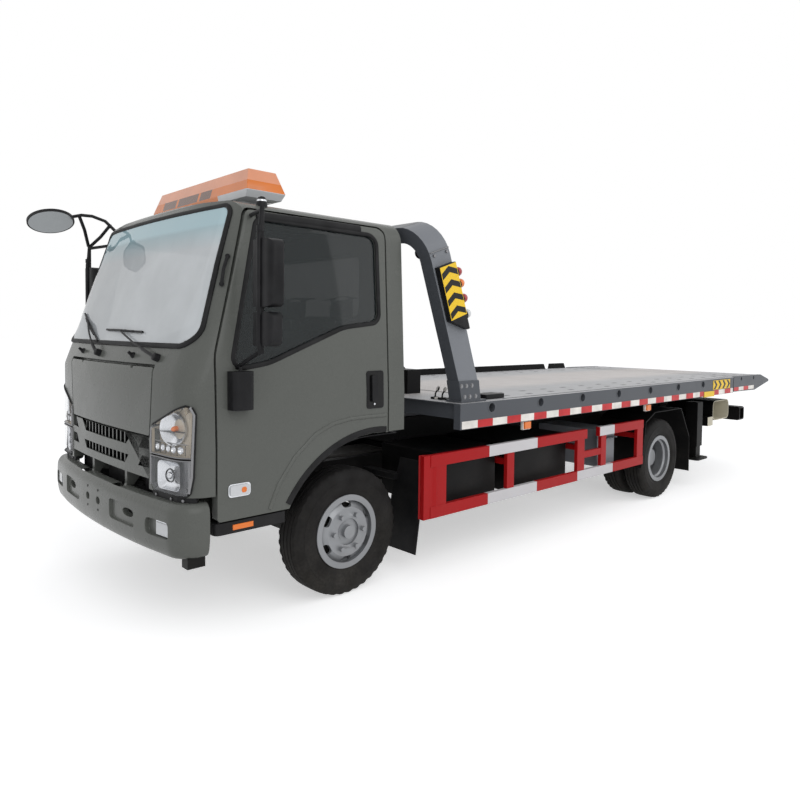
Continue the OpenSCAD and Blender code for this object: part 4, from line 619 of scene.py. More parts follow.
def ribbonShape(bm, path, cast, section, closed=True,
                mat=0):  # section's (across, up) pairs swept along a laid path
    hits = [hit for hit in (cast(p) for p in path) if hit[0]]
    count = len(hits)
    rings = []
    for i, (here, normal) in enumerate(hits):
        before = hits[i - 1 if closed or i else 0]
        after = hits[(i + 1) % count if closed else min(i + 1, count - 1)]
        ahead = (after[0] - before[0]).normalized()
        up = (before[1] + normal * 2 + after[1]).normalized()
        side = up.cross(ahead).normalized()
        up = ahead.cross(side)
        rings.append([bm.verts.new(here + side * a + up * h) for a, h in section])
    for i in range(count if closed else count - 1):
        a, b = rings[i], rings[(i + 1) % count]
        for k in range(len(section)):
            bm.faces.new((a[k - 1], a[k], b[k], b[k - 1])).material_index = mat
    if not closed:
        bm.faces.new(rings[0]).material_index = mat
        bm.faces.new(rings[-1][::-1]).material_index = mat


def rodShape(bm, places, radius, sides=10, mat=0):  # bent round bar through finished places
    rings = []
    for i, here in enumerate(places):
        ahead = (places[min(i + 1, len(places) - 1)] - places[max(i - 1, 0)]).normalized()
        side = ahead.orthogonal().normalized() if not rings else (lastSide - ahead * lastSide.dot(ahead)).normalized()
        lastSide = side
        up = ahead.cross(side)
        rings.append([bm.verts.new(here + (side * math.cos(t) + up * math.sin(t)) * radius)
                      for t in (2 * math.pi * k / sides for k in range(sides))])
    for a, b in zip(rings, rings[1:]):
        for k in range(sides):
            bm.faces.new((a[k - 1], a[k], b[k], b[k - 1])).material_index = mat
    bm.faces.new(rings[0]).material_index = mat
    bm.faces.new(rings[-1][::-1]).material_index = mat


# CAD nodes: finish and edge radius of those with one finish
nodeLooks = {
    "chassis_frame": ("blackPaint", 0.003), "powertrain": ("castIron", 0.01),
    "front_axle": ("blackPaint", 0.004),
    "rear_axle": ("blackPaint", 0.003), "leaf_springs": ("blackPaint", 0),
    "tool_boxes": ("blackPaint", 0.006),
    "control_box": ("coverPaint", 0.006), "front_mudguards": ("blackPlastic", 0.003),
    "rear_fenders": ("blackPaint", 0.003),
    "outrigger_housings": ("blackPaint", 0.004), "knuckle_left": ("blackPaint", 0.003),
    "knuckle_right": ("blackPaint", 0.003),
    "tie_rod": ("blackPaint", 0), "front_wheel_left": ("wheelSilver", 0.002),
    "front_wheel_right": ("wheelSilver", 0.002),
    "rear_wheels_left": ("wheelSilver", 0.002), "rear_wheels_right": ("wheelSilver", 0.002),
    "cab_shell": ("cabPaint", 0.004), "dashboard": ("blackPlastic", 0.004),
    "cab_steps": ("blackPlastic", 0.006), "arch_liners": ("blackPlastic", 0.002),
    "front_lid": ("cabPaint", 0.004),
    "door_left": ("cabPaint", 0.004), "door_right": ("cabPaint", 0.004),
    "door_glass_left": ("sideGlass", 0), "door_glass_right": ("sideGlass", 0),
    "mirror_left": ("blackPlastic", 0.006),
    "tilt_barrels": ("blackPaint", 0.003), "tilt_rods": ("chrome", 0.002),
    "warning_boards": ("blackPlastic", 0.003), "bed_rail": ("blackPaint", 0.003),
    "winch_frame": ("blackPaint", 0.003), "winch_drum": ("bareSteel", 0.002),
    "outrigger_leg_left": ("blackPaint", 0.003), "outrigger_leg_right": ("blackPaint", 0.003),
    "lift_boom": ("blackPaint", 0.004), "lift_slider": ("blackPaint", 0.003),
    "lift_bar": ("blackPaint", 0.004),
}
for node, (material, bevel) in nodeLooks.items():
    dressNode(node, material, bevel)

eyeLook = {"axis": (-5.2, 0.87), "bore": (0.024, 0.026), "open": 0.0256}


def widerEyes(p):  # the tilt frame's eyes turn clear of their pins' facets
    x, z = p.x - frontAxle.x - eyeLook["axis"][0], p.z - eyeLook["axis"][1]
    r = math.hypot(x, z)
    if not eyeLook["bore"][0] < r < eyeLook["bore"][1]:
        return p
    grow = eyeLook["open"] / r - 1
    return p + Vector((x * grow, 0, z * grow))


dressNode("tilt_frame", "blackPaint", 0.004, moved=widerEyes)


guardLook = {"top": [(-1.12, -1.69), (-2.59, -2.83)], "low": [(-1.11, -1.69), (-2.25, -2.81)],
             "topEdge": 0.745,
             "lowEdge": 0.488, "outside": 1.0, "postFrom": -0.6, "postInside": 1.069, "postFace": 1.07,
             "postDepth": 0.25}


def guardPaint(p, normal):  # white stretches on the two rails
    if abs(p.y) < guardLook["outside"]:
        return 0
    runs = guardLook["top"] if p.z > guardLook["topEdge"] else guardLook["low"] if p.z < guardLook["lowEdge"] else []
    return int(any(b < p.x < a for a, b in runs))


def guardEnd(p):  # the front corner posts are drawn shallower
    look = guardLook
    if p.x < frontAxle.x + look["postFrom"] or abs(p.y) > look["postInside"]:
        return p
    return Vector((p.x, math.copysign(look["postFace"] - look["postDepth"] * (look["postFace"] - abs(p.y)),
                                      p.y), p.z))


dressNode("side_guards", ["redPaint", "whitePaint"], 0.005, choose=guardPaint, moved=guardEnd,
          cuts=[(0, at(x, 0, 0)) for run in guardLook["top"] + guardLook["low"] for x in run])


bedLook = {"level": 0.9, "deckTop": 1.14, "tailTop": 1.1, "tailSide": 1.1, "hoopTurn": 0.25, "hoopSide": 0.85,
           "hoopFrom": 1.3}


def deckPaint(p, normal):  # tread plate on top, paint on the beams
    return int(normal.z > bedLook["level"] and p.z > bedLook["deckTop"])


def tailPaint(p, normal):
    return int(normal.z > bedLook["level"] and abs(p.y) < bedLook["tailSide"] and p.z > bedLook["tailTop"])


def hoopPaint(p, normal):  # paler covers on the hoop's outer faces and bends
    outward = p.y * normal.y > bedLook["hoopTurn"] * abs(p.y)
    return int(outward and abs(p.y) > bedLook["hoopSide"] and p.z > bedLook["hoopFrom"])


dressNode("hoop", ["bedPaint", "coverPaint"], 0.008, choose=hoopPaint)
dressNode("bed_deck", ["bedPaint", "deckPlate"], 0.004, choose=deckPaint)
dressNode("bed_tail", ["bedPaint", "deckPlate"], 0.003, choose=tailPaint)

grilleLook = {"nose": 1.12, "curve": 9.0, "slotDepth": 0.007, "barDepth": 0.014,
              "ends": [(0.884, 0.945), (0.985, 1.06)],
              "endsFrom": 0.478}


def grillePaint(p, normal):  # painted shade: gloss black behind the grille's bars, on the walls of its slots and in its ends
    look = grilleLook
    depth = look["nose"] - p.y * p.y / (2 * look["curve"]) - p.x
    inEnds = abs(p.y) > look["endsFrom"] and any(a < p.z < b for a, b in look["ends"])
    return int(depth > look["barDepth"] or (depth > look["slotDepth"] and (inEnds or abs(normal.x) < 0.5)))


dressNode("grille", ["cabPaint", "glossBlack"], 0, choose=grillePaint, flat=False)

tubeLook = {"middle": (-5.38, 0.764), "half": (0.225, 0.115)}


def tubePaint(p, normal):  # cream inside and on the rims of the stowage tubes
    x, z = p.x - tubeLook["middle"][0], p.z - tubeLook["middle"][1]
    if abs(x) > tubeLook["half"][0] or abs(z) > tubeLook["half"][1]:
        return 0
    return int(x * normal.x + z * normal.z < -0.001 or abs(normal.y) > 0.9)


dressNode("rear_beam", ["blackPaint", "creamPaint"], 0.003, choose=tubePaint)


barLook = {"dark": [(-0.5, -0.3), (-0.27, 0.02), (0.05, 0.2)], "clearFrom": 0.3, "foot": 2.41, "low": 2.447,
           "ridge": 2.505}


def barPaint(p, normal):  # amber bar: painted highlight on the top, painted shade on the units in front, clear edge at the left
    if p.z < barLook["low"]:
        return 2 if p.y > barLook["clearFrom"] else 1 if p.z < barLook["foot"] else 0
    if p.z > barLook["ridge"] or normal.z > 0.5:
        return 3
    return 4 if any(a < p.y < b for a, b in barLook["dark"]) else 0


barCuts = [y for run in barLook["dark"] for y in run] + [barLook["clearFrom"]]
dressNode("light_bar", ["amberPane", "glossBlack", "whiteLens", "amberPale", "amberShade"], 0.006,
          choose=barPaint,
          cuts=[(1, at(0, y, 0)) for y in barCuts] + [(2, at(0, 0, barLook[z])) for z in ("low", "ridge")])
print("CAD nodes dressed")


# tyres: tread grooves, shoulder notches and sidewall rings
tyreLook = {"steps": 160, "tread": 0.3925, "crown": 0.0018, "grooves": (-0.052, -0.018, 0.018, 0.052),
            "grooveHalf": 0.0042,
            "grooveSlope": 0.0012, "grooveDepth": 0.009, "notch": 0.006, "notchFrom": 0.374,
            "shoulder": (0.07, 0.105),
            "centreZ": 0.393,
            "side": [(0.2045, 0.078), (0.229, 0.080), (0.245, 0.088), (0.262, 0.094), (0.266, 0.0965),
                     (0.275, 0.0975),
                     (0.305, 0.1015), (0.318, 0.1015), (0.320, 0.1025), (0.326, 0.1025), (0.328, 0.1005),
                     (0.345, 0.098),
                     (0.362, 0.094), (0.374, 0.0885), (0.3865, 0.081), (0.3897, 0.074)],
            "pieces": {"front_tyre_left": (0, [0.83]), "front_tyre_right": (0, [-0.83]),
                       "rear_tyres_left": (-3.815, [0.7, 0.95]), "rear_tyres_right": (-3.815, [-0.7, -0.95])}}


def tyreProfile():
    look = tyreLook
    tread = []
    for y in look["grooves"]:
        r = look["tread"] - look["crown"] * (y / look["shoulder"][0]) ** 2
        h, d, slope = look["grooveHalf"], look["grooveDepth"], look["grooveSlope"]
        tread += [(r, y - h), (r - d, y - h + slope), (r - d, y + h - slope), (r, y + h)]
    loop = [(r, -y) for r, y in look["side"]] + tread + look["side"][::-1]
    return loop + loop[:1]


def makeTyres():
    look = tyreLook
    for node, (x, rows) in look["pieces"].items():
        bm = bmesh.new()
        for y in rows:
            centre = at(x, y, look["centreZ"])
            turnedShape(bm, tyreProfile(), centre, (0, 1, 0), look["steps"])
            bmesh.ops.remove_doubles(bm, verts=bm.verts, dist=0.00002)
            for vert in bm.verts:
                off = vert.co - centre
                radius = math.hypot(off.x, off.z)
                if radius < look["notchFrom"] or not look["shoulder"][0] <= abs(off.y) <= look["shoulder"][1]:
                    continue
                step = round(math.atan2(off.z, off.x) / (2 * math.pi) * look["steps"])
                if step % 4 < 2:  # two steps in four
                    vert.co -= Vector((off.x, 0, off.z)) * look["notch"] / radius
        finishPiece(bm, node + "Tread", "rubber", bodies[node], 30, (node,))
    print("tyres ready")


makeTyres()


# seals, trim strips and small fittings of the cab
sides = ((1, "left"), (-1, "right"))
trim = {"window": [(-0.178, 1.694, 0.05), (0.09, 1.662, 0.4), (0.6, 1.463, 0.4), (0.812, 1.432, 0.045),
                   (0.65, 2.222, 0.05),
                   (-0.17, 2.212, 0.06)],
        "back": [(-0.605, 1.715, 0.06), (0.605, 1.715, 0.06), (0.605, 2.155, 0.06), (-0.605, 2.155, 0.06)],
        "arch": (-0.156, 0.272, 0.748), "archAngles": (31.5, 96), "archSteps": 30,
        "crease": [(0.60, 0.655), (0.545, 0.78), (0.44, 0.92), (0.30, 1.035), (0.18, 1.085), (0.05, 1.104),
                   (-0.1, 1.106),
                   (-0.235, 1.105)],
        "visor": [(0.655, 2.246), (0.3, 2.252), (-0.06, 2.252)],
        "handle": (-0.143, 1.27),  # its panels: offset, size, corner, from and to over the door, material
        "handlePanels": [(0, 0, 0.135, 0.232, 0.018, -0.002, 0.005, 0),
                         (0, 0, 0.118, 0.212, 0.012, 0.0051, 0.0056, 1),
                         (0.012, 0.008, 0.046, 0.165, 0.012, 0.006, 0.019, 0),
                         (0.012, -0.088, 0.012, 0.012, 0.004, 0.006, 0.012, 2)],
        "sideLamp": (0.783, 0.79),
        "lampPanels": [(0, 0, 0.128, 0.07, 0.018, -0.002, 0.006, 2),
                       (0, 0, 0.112, 0.056, 0.014, 0.006, 0.014, 0),
                       (-0.022, 0, 0.03, 0.03, 0.012, 0.0141, 0.0150, 1)],
        "reflector": (0.763, 0.597), "roofLamp": (0.57, 0.86), "jets": [(-0.463, 1.481), (0.37, 1.481)],
        "grip": [(0.816, 0.937, 2.014), (0.848, 0.953, 1.943), (0.856, 0.948, 1.866)],
        "mirror": (0.79, 1.16, 1.31), "mirrorGlass": [(1.765, 2.06, 0.0692), (1.565, 1.705, 0.0642)],
        "lookDown": (1.09, -1.1, 2.378), "lookDownAxis": (0, 0.4226, -0.9063),
        "drum": [(0.066, 0.02), (0.16, 0.02), (0.168, 0.012), (0.168, -0.05), (0.066, -0.05)]}


def halfRound(width, height, sink=0.004, steps=6):  # section of a strip, (across, up)
    arc = [(-width * math.cos(math.pi * k / steps), height * math.sin(math.pi * k / steps))
           for k in range(steps + 1)]
    return [(-width, -sink)] + arc + [(width, -sink)]


def flatStrip(width, height, sink=0.004):
    return [(-width, -sink), (-width, height * 0.5), (-width + height, height), (width - height, height),
            (width, height * 0.5),
            (width, -sink)]


def sidePanel(bm, cast, outline, low, high,
              mat=0):  # flat panel laid on a door, from low to high over its face
    places = [cast(p) for p in outline]
    up = sum((n for _, n in places), Vector()).normalized()
    panelShape(bm, [p + up * low for p, _ in places], up * (high - low), mat)


def rectangle(x, z, w, h, r):
    return roundCorners([(x + i * w / 2, z + k * h / 2, r) for i, k in ((-1, -1), (1, -1), (1, 1), (-1, 1))],
                        4)


def panelStack(bm, cast, middle, panels):
    for dx, dz, w, h, r, low, high, mat in panels:
        sidePanel(bm, cast, rectangle(middle[0] + dx, middle[1] + dz, w, h, r), low, high, mat)


def widened(path, by):  # a closed outline moved outwards
    out = []
    for i, p in enumerate(path):
        ahead = (Vector(path[(i + 1) % len(path)]) - Vector(path[i - 1])).normalized()
        out.append(Vector(p) + Vector((ahead.y, -ahead.x)) * by)
    return out


def makeDoorTrim(side, name):
    cast, body = fromSide(side), bodies["door_" + name]
    bm = bmesh.new()
    ribbonShape(bm, widened(denser(roundCorners(trim["window"], 8), 0.04), 0.011), cast,
                halfRound(0.0135, 0.007))
    x, z, r = trim["arch"]
    a0, a1 = (math.radians(a) for a in trim["archAngles"])
    turns = [a0 + (a1 - a0) * k / trim["archSteps"] for k in range(trim["archSteps"] + 1)]
    arch = [(x + r * math.cos(a), z + r * math.sin(a)) for a in turns]
    ribbonShape(bm, arch, cast, flatStrip(0.018, 0.007), False)
    ribbonShape(bm, denser(trim["visor"], 0.06, False), cast, halfRound(0.024, 0.016), False)
    finishPiece(bm, "doorSeals_" + name, "sealRubber", body, 50)
    bm = bmesh.new()
    ribbonShape(bm, denser(trim["crease"], 0.03, False), cast, halfRound(0.012, 0.008), False)
    finishPiece(bm, "doorCrease_" + name, "cabPaint", body, 60)
    bm = bmesh.new()
    panelStack(bm, cast, trim["handle"], trim["handlePanels"])
    finishPiece(bm, "doorHandle_" + name, ["blackPlastic", "glossBlack", "chrome"], body,
                bevel=0.002)
    bm = bmesh.new()
    panelStack(bm, cast, trim["sideLamp"], trim["lampPanels"])
    finishPiece(bm, "sideLamp_" + name, ["whiteLens", "amberLens", "chrome"], body,
                bevel=0.003)


def makeSideFittings(side, name):
    bm = bmesh.new()
    x, z = trim["reflector"]
    boxShape(bm, (x - 0.06, side * 1.0, z - 0.014), (x + 0.06, side * 1.009, z + 0.014))
    finishPiece(bm, "stepReflector_" + name, "amberLens", bodies["cab_steps"],
                bevel=0.002)
    bm = bmesh.new()
    strip = [at(x, side * y, z) for x, y, z in trim["grip"]]
    rodShape(bm, strip, 0.009, 12)
    for end in (strip[0], strip[-1]):
        tubeShape(bm, end - Vector((0.008, side * 0.009, 0)), end + Vector((0.004, side * 0.005, 0)), 0.012)
    finishPiece(bm, "pillarGrip_" + name, "blackPlastic", bodies["cab_shell"], 50)
    bm = bmesh.new()
    x, y = trim["roofLamp"]
    roof = cabTree.ray_cast(at(x, side * y, 3), Vector((0, 0, -1)))[0]
    for mat, profile in ((0, [(0, -0.012), (0.031, -0.012), (0.031, 0.012), (0.028, 0.022)]),
                         (1, [(0.028, 0.022), (0.026, 0.032)]),
                         (0, [(0.026, 0.032), (0.02, 0.044), (0.01, 0.05), (0, 0.052)])):
        turnedShape(bm, profile, roof, (0, 0, 1), 24, mat)
    finishPiece(bm, "roofLamp_" + name, ["blackPlastic", "chrome"], bodies["cab_shell"], 40)
    bm = bmesh.new()
    x, y0, y1 = trim["mirror"]
    for low, high, deep in trim["mirrorGlass"]:
        boxShape(bm, (x - deep - 0.0005, side * y0, low), (x - deep + 0.002, side * y1, high))
    finishPiece(bm, "mirrorGlass_" + name, "mirrorFace", bodies["mirror_" + name])
    bm = bmesh.new()  # a drum behind the front wheel's hand holes
    turnedShape(bm, trim["drum"], at(0, side * 0.83, tyreLook["centreZ"]), (0, side, 0), 48)
    finishPiece(bm, "brakeDrum_" + name, "castIron", bodies["front_wheel_" + name], 40)


def makeCabTrim():
    bm = bmesh.new()
    ribbonShape(bm, denser(roundCorners(trim["back"], 6), 0.06), fromBack(), halfRound(0.018, 0.008))
    finishPiece(bm, "backSeal", "sealRubber", bodies["cab_shell"], 50)
    for side, name in sides:
        makeDoorTrim(side, name)
        makeSideFittings(side, name)
    bm = bmesh.new()
    for place in trim["jets"]:
        spot, normal = fromFront()(place)
        tubeShape(bm, spot - normal * 0.004, spot + normal * 0.012, 0.02, 0.014)
        tubeShape(bm, spot + normal * 0.01, spot + normal * 0.03 + Vector((0, 0, 0.01)), 0.01, 0.008)
    finishPiece(bm, "washerJets", "blackPlastic", bodies["cab_shell"], 40)
    bm = bmesh.new()
    turnedShape(bm, [(0, 0.0105), (0.09, 0.0098), (0.14, 0.0085)], at(*trim["lookDown"]),
                trim["lookDownAxis"], 48)
    finishPiece(bm, "roundMirrorGlass", "mirrorFace", bodies["mirror_right"], 60)
    print("cab trim ready")


makeCabTrim()


# headlamps: lens, reflectors, bulb, cells and gasket in place of the plain lamp solids
lampLook = {"inner": 0.642, "outer": (0.957, 0.968), "low": 0.78, "top": (1.12, 1.258),
            "split": (0.964, 0.976), "depth": 0.05,
            "columns": 22, "rows": 12, "bowl": (0.832, 1.115), "bowlRadius": 0.082, "bowlTurn": 22,
            "bowlSunk": 0.024,
            "square": (0.80, 0.872, 0.185, 0.15), "squareTurn": 12, "squareSunk": 0.014, "squareCorner": 0.03,
            "squareRings": [(1.0, 0.0), (0.97, 0.003), (0.86, 0.02), (0.62, 0.031), (0.3, 0.036)],
            "cells": (0.69, 0.905, 5, 1.014), "barSunk": 0.014, "shelf": (0.66, 0.72, 0.78, 0.84, 0.9, 0.94),
            "edge": (0.80, 0.88, 0.96, 1.04, 1.12, 1.20, 1.24),
            "under": (0.63, 0.68, 0.73, 0.78, 0.83, 0.88, 0.92, 0.95, 0.97), "underZ": (0.742, 0.777),
            "underBolts": (1, 4, 6)}
lampTree = surfaceOf("headlamps")
lampCast = fromFront(lampTree)


def lampSpot(u, z, side):
    look = lampLook
    v = (z - look["low"]) / (look["top"][1] - look["low"])
    y = look["inner"] + u * (look["outer"][0] + v * (look["outer"][1] - look["outer"][0]) - look["inner"])
    spot, normal = lampCast((side * y, z))
    if spot is None:  # just past the rounded corners and the seam
        spot, normal = lampTree.find_nearest(at(1.05, side * y, z))[:2]
    return spot, normal


def lampSheet(side, upper):
    look = lampLook
    grid = []
    for j in range(look["rows"] + 1):
        row = []
        for i in range(look["columns"] + 1):
            u = i / look["columns"]
            low, high = look["low"], look["split"][0]
            if upper:
                low, high = look["split"][1], look["top"][0] + u * (look["top"][1] - look["top"][0])
            row.append(lampSpot(u, low + (high - low) * (0.004 + 0.992 * j / look["rows"]), side))
        grid.append(row)
    return grid


def edgeTrim(bm, line, width, mat=0):  # narrow strip along one edge of the lamp
    half = [(width, -0.004), (width, 0.002), (width * 0.5, 0.004)]
    ribbonShape(bm, line, lambda spot: spot, [(-a, h) for a, h in half] + half[::-1], False, mat)


def lampShell(lens, inside, gasket, side, upper):
    grid = lampSheet(side, upper)
    rows, columns, mat = len(grid), len(grid[0]), 0 if upper else 2
    front = [[lens.verts.new(p + n * 0.001) for p, n in row] for row in grid]
    rear = [[inside.verts.new(p - n * lampLook["depth"]) for p, n in row] for row in grid]
    for j in range(rows - 1):
        for i in range(columns - 1):
            corners = [(j, i), (j, i + 1), (j + 1, i + 1), (j + 1, i)][::side]
            lens.faces.new([front[a][b] for a, b in corners])
            inside.faces.new([rear[a][b] for a, b in corners]).material_index = mat
    edge = [(0, i) for i in range(columns)] + [(j, columns - 1) for j in range(1, rows)] + \
           [(rows - 1, i) for i in range(columns - 2, -1, -1)] + [(j, 0) for j in range(rows - 2, 0, -1)]
    rim = {(a, b): inside.verts.new(grid[a][b][0] - grid[a][b][1] * 0.003) for a, b in edge}
    for k in range(len(edge)):
        (a, b), (c, d) = edge[k - 1], edge[k]
        inside.faces.new((rim[a, b], rim[c, d], rear[c][d], rear[a][b])[::side]).material_index = mat
    last = [row[-1] for row in grid]
    edgeTrim(gasket, last + grid[-1][-2::-1] if upper else grid[0] + last[1:], 0.0045 if upper else 0.004)
    edgeTrim(gasket, grid[0 if upper else -1], 0.003, 1)
    edgeTrim(gasket, [row[0] for row in grid], 0.003, 1)


def lampAxes(turn, side):  # the way a reflector looks, and across it
    c, s = math.cos(math.radians(turn)), side * math.sin(math.radians(turn))
    return Vector((c, s, 0)), Vector((-s, c, 0))


def lampBowl(inside, side):  # upper reflector with its amber bulb
    look = lampLook
    axis, across = lampAxes(look["bowlTurn"], side)
    y, z = look["bowl"]
    spot = lampCast((side * y, z))[0] - axis * look["bowlSunk"]
    r = look["bowlRadius"]
    bowl = [(r * k / 10, -0.04 + 0.04 * (k / 10) ** 2) for k in range(11)]
    turnedShape(inside, bowl + [(r + 0.004, 0.003), (r + 0.007, -0.006)], spot, axis, 40, 1)
    turnedShape(inside, [(0, 0.008), (0.009, 0.005), (0.014, -0.006), (0.014, -0.03)], spot, axis, 20, 3)
    shelf = [spot + axis * d + across * w + Vector((0, 0, -0.012))
             for d, w in ((0.004, -r), (0.004, r), (-0.03, r * 0.6), (-0.03, -r * 0.6))]
    panelShape(inside, shelf, Vector((0, 0, -0.003)), 4)


def lampSquare(inside, side):  # lower reflector with its rounded corners
    look = lampLook
    y, z, w, h = look["square"]
    axis, across = lampAxes(look["squareTurn"], side)
    spot = lampCast((side * y, z))[0] - axis * look["squareSunk"]
    outline = rectangle(0, 0, w, h, look["squareCorner"])
    rings = [[inside.verts.new(spot - axis * deep + across * (p.x * scale) + Vector((0, 0, p.y * scale)))
              for p in outline]
             for scale, deep in look["squareRings"]]
    for a, b in zip(rings, rings[1:]):
        for k in range(len(a)):
            inside.faces.new((a[k - 1], a[k], b[k], b[k - 1])).material_index = 1
    inside.faces.new(rings[-1]).material_index = 4
    turnedShape(inside, [(0, 0.006), (0.014, 0.002), (0.019, -0.008), (0.02, -0.034)], spot, axis, 20, 1)
    turnedShape(inside, [(0.03, -0.012), (0.034, -0.004), (0.038, -0.012)], spot, axis, 24, 4)


def lampCells(inside, side):  # row of small cells between the two, with bars and a shelf
    sunk = lampLook["barSunk"]
    first, last, count, z = lampLook["cells"]
    pitch = (last - first) / (count - 1)
    for k in range(count):
        y = first + pitch * k
        spot, normal = lampCast((side * y, z))
        turnedShape(inside, [(0, -0.03), (0.012, -0.026), (0.018, -0.014), (0.019, -0.012)], spot, normal, 16,
                    1)
        for gap in (-0.5, 0.5):
            bar, normal = lampCast((side * (y + gap * pitch), z))
            rodShape(inside, [bar - normal * sunk + Vector((0, 0, h)) for h in (-0.03, 0.026)], 0.0016, 6, 4)
    shelf = [lampCast((side * y, z + 0.03)) for y in lampLook["shelf"]]
    rodShape(inside, [p - n * sunk for p, n in shelf], 0.0028, 6, 2)


def underLamp(bm, side):  # dark strip with bolts below a lamp
    path = [fromFront()((side * y, 0.80)) for y in lampLook["under"]]
    z0, z1 = lampLook["underZ"]
    low = [p - n * 0.012 for p, n in path]
    for a, b in zip(low, low[1:]):
        panelShape(bm, [Vector((p.x, p.y, z)) for p, z in ((a, z0), (b, z0), (b, z1), (a, z1))],
                   Vector((-0.012, -side * 0.006, 0)))
    for k in lampLook["underBolts"]:
        p, n = path[k]
        spot = Vector((p.x, p.y, 0.758)) - n * 0.012
        tubeShape(bm, spot, spot + n * 0.005, 0.008, mat=1)


def makeHeadlamps():
    lens, inside, gasket, under = (bmesh.new() for _ in range(4))
    for side in (1, -1):
        for upper in (True, False):
            lampShell(lens, inside, gasket, side, upper)
        for part in (lampBowl, lampSquare, lampCells):
            part(inside, side)
        strip = [lampSpot(1.0, z, side) for z in lampLook["edge"]]
        edgeTrim(gasket, [(p + Vector((0, side * 0.009, 0)), n) for p, n in strip], 0.007, 1)
        edgeTrim(gasket, [(p + Vector((-0.006, side * 0.018, 0)), n) for p, n in strip], 0.0035)
        underLamp(under, side)
    body, slot = bodies["headlamps"], slots["headlamps"]
    finishPiece(lens, "lampLenses", "clearLens", body, 60, ("headlamps",), False)
    finishPiece(inside, "lampInsides", ["lampCream", "chrome", "bareSteel", "amberLens", "glossBlack"], body,
                50, outward=False)
    finishPiece(gasket, "lampGaskets", ["sealRubber", "bareSteel"], body, 50)
    finishPiece(under, "underLampStrips", ["blackPlastic", "bareSteel"], body, 30)
    print("headlamps ready")


makeHeadlamps()


# bumper: a moulded shell on the bumper's plan, with its pockets sunk in
bumperLook = {"nose": 1.185, "curve": 6.5, "straightFrom": 0.66, "corner": (1.108, 1.0), "end": 0.943,
              "along": [0, 0.05, 0.12, 0.18, 0.215, 0.25, 0.32, 0.385, 0.53, 0.56, 0.62, 0.675, 0.75, 0.86],
              "cornerSteps": 6,
              "profile": [(0.095, 0.700), (0.092, 0.742), (0.085, 0.747), (0.05, 0.748), (0.03, 0.744),
                          (0.012, 0.728),
                          (0.002, 0.705), (0, 0.677), (0, 0.654), (0, 0.6), (0, 0.562), (0.004, 0.525),
                          (0.012, 0.49),
                          (0.024, 0.47), (0.04, 0.463), (0.07, 0.462)],
              "pockets": [((0.25, 0.56, 0.562, 0.677), 0.016, 0), ((0.385, 0.53, 0.6, 0.654), 0.03, 1),
                          ((0.05, 0.12, 0.6, 0.654), 0.02, 1), ((0.675, 0.9, 0.562, 0.654), 0.024, 0)],
              "pocketFrom": 0.98, "ridge": (0.03, 0.5), "notch": (0.215, 0.32), "notchFrom": 0.695,
              "screws": [(0.085, 0.572), (0.085, 0.686)],
              "mounts": [((0.955, 0.33, 0.53), (1.10, 0.365, 0.61)),
                         ((0.955, 0.90, 0.415), (1.05, 0.965, 0.47))],
              "skirt": [((1.012, 0.37, 0.70), (1.02, 0.66, 0.85)), ((1.012, 0, 0.70), (1.02, 0.2, 0.85)),
                        ((0.94, 0.6, 0.70), (0.948, 0.86, 0.82))],
              "fogPanels": [(0.762, 0.892, 0.57, 0.646, 0.006, 3), (0.77, 0.884, 0.577, 0.639, 0.011, 2)],
              "fogSunk": 0.019,
              "redFrom": 0.66}


def bumperPlan(y, t):  # x behind the nose for a place across, at a distance t inside the face
    look = bumperLook
    if abs(y) <= look["straightFrom"]:
        return look["nose"] - t - y * y / (2 * look["curve"])
    start = look["nose"] - look["straightFrom"] ** 2 / (2 * look["curve"])
    share = (abs(y) - look["straightFrom"]) / (look["corner"][1] - look["straightFrom"])
    return start + (look["corner"][0] - start) * share - t


def bumperPath(t):  # left half of the plan, from the middle to the end behind the corner
    look = bumperLook
    path = [Vector((bumperPlan(y, t), y)) for y in look["along"]]
    last = path[-1]
    r = look["corner"][1] - t - last.y
    middle = Vector((last.x - r * 1.05, last.y))
    for k in range(1, look["cornerSteps"] + 1):
        turn = math.pi / 2 * k / look["cornerSteps"]
        path.append(Vector((middle.x + r * 1.05 * math.cos(turn), middle.y + r * math.sin(turn))))
    return path + [Vector((look["end"], look["corner"][1] - t))]


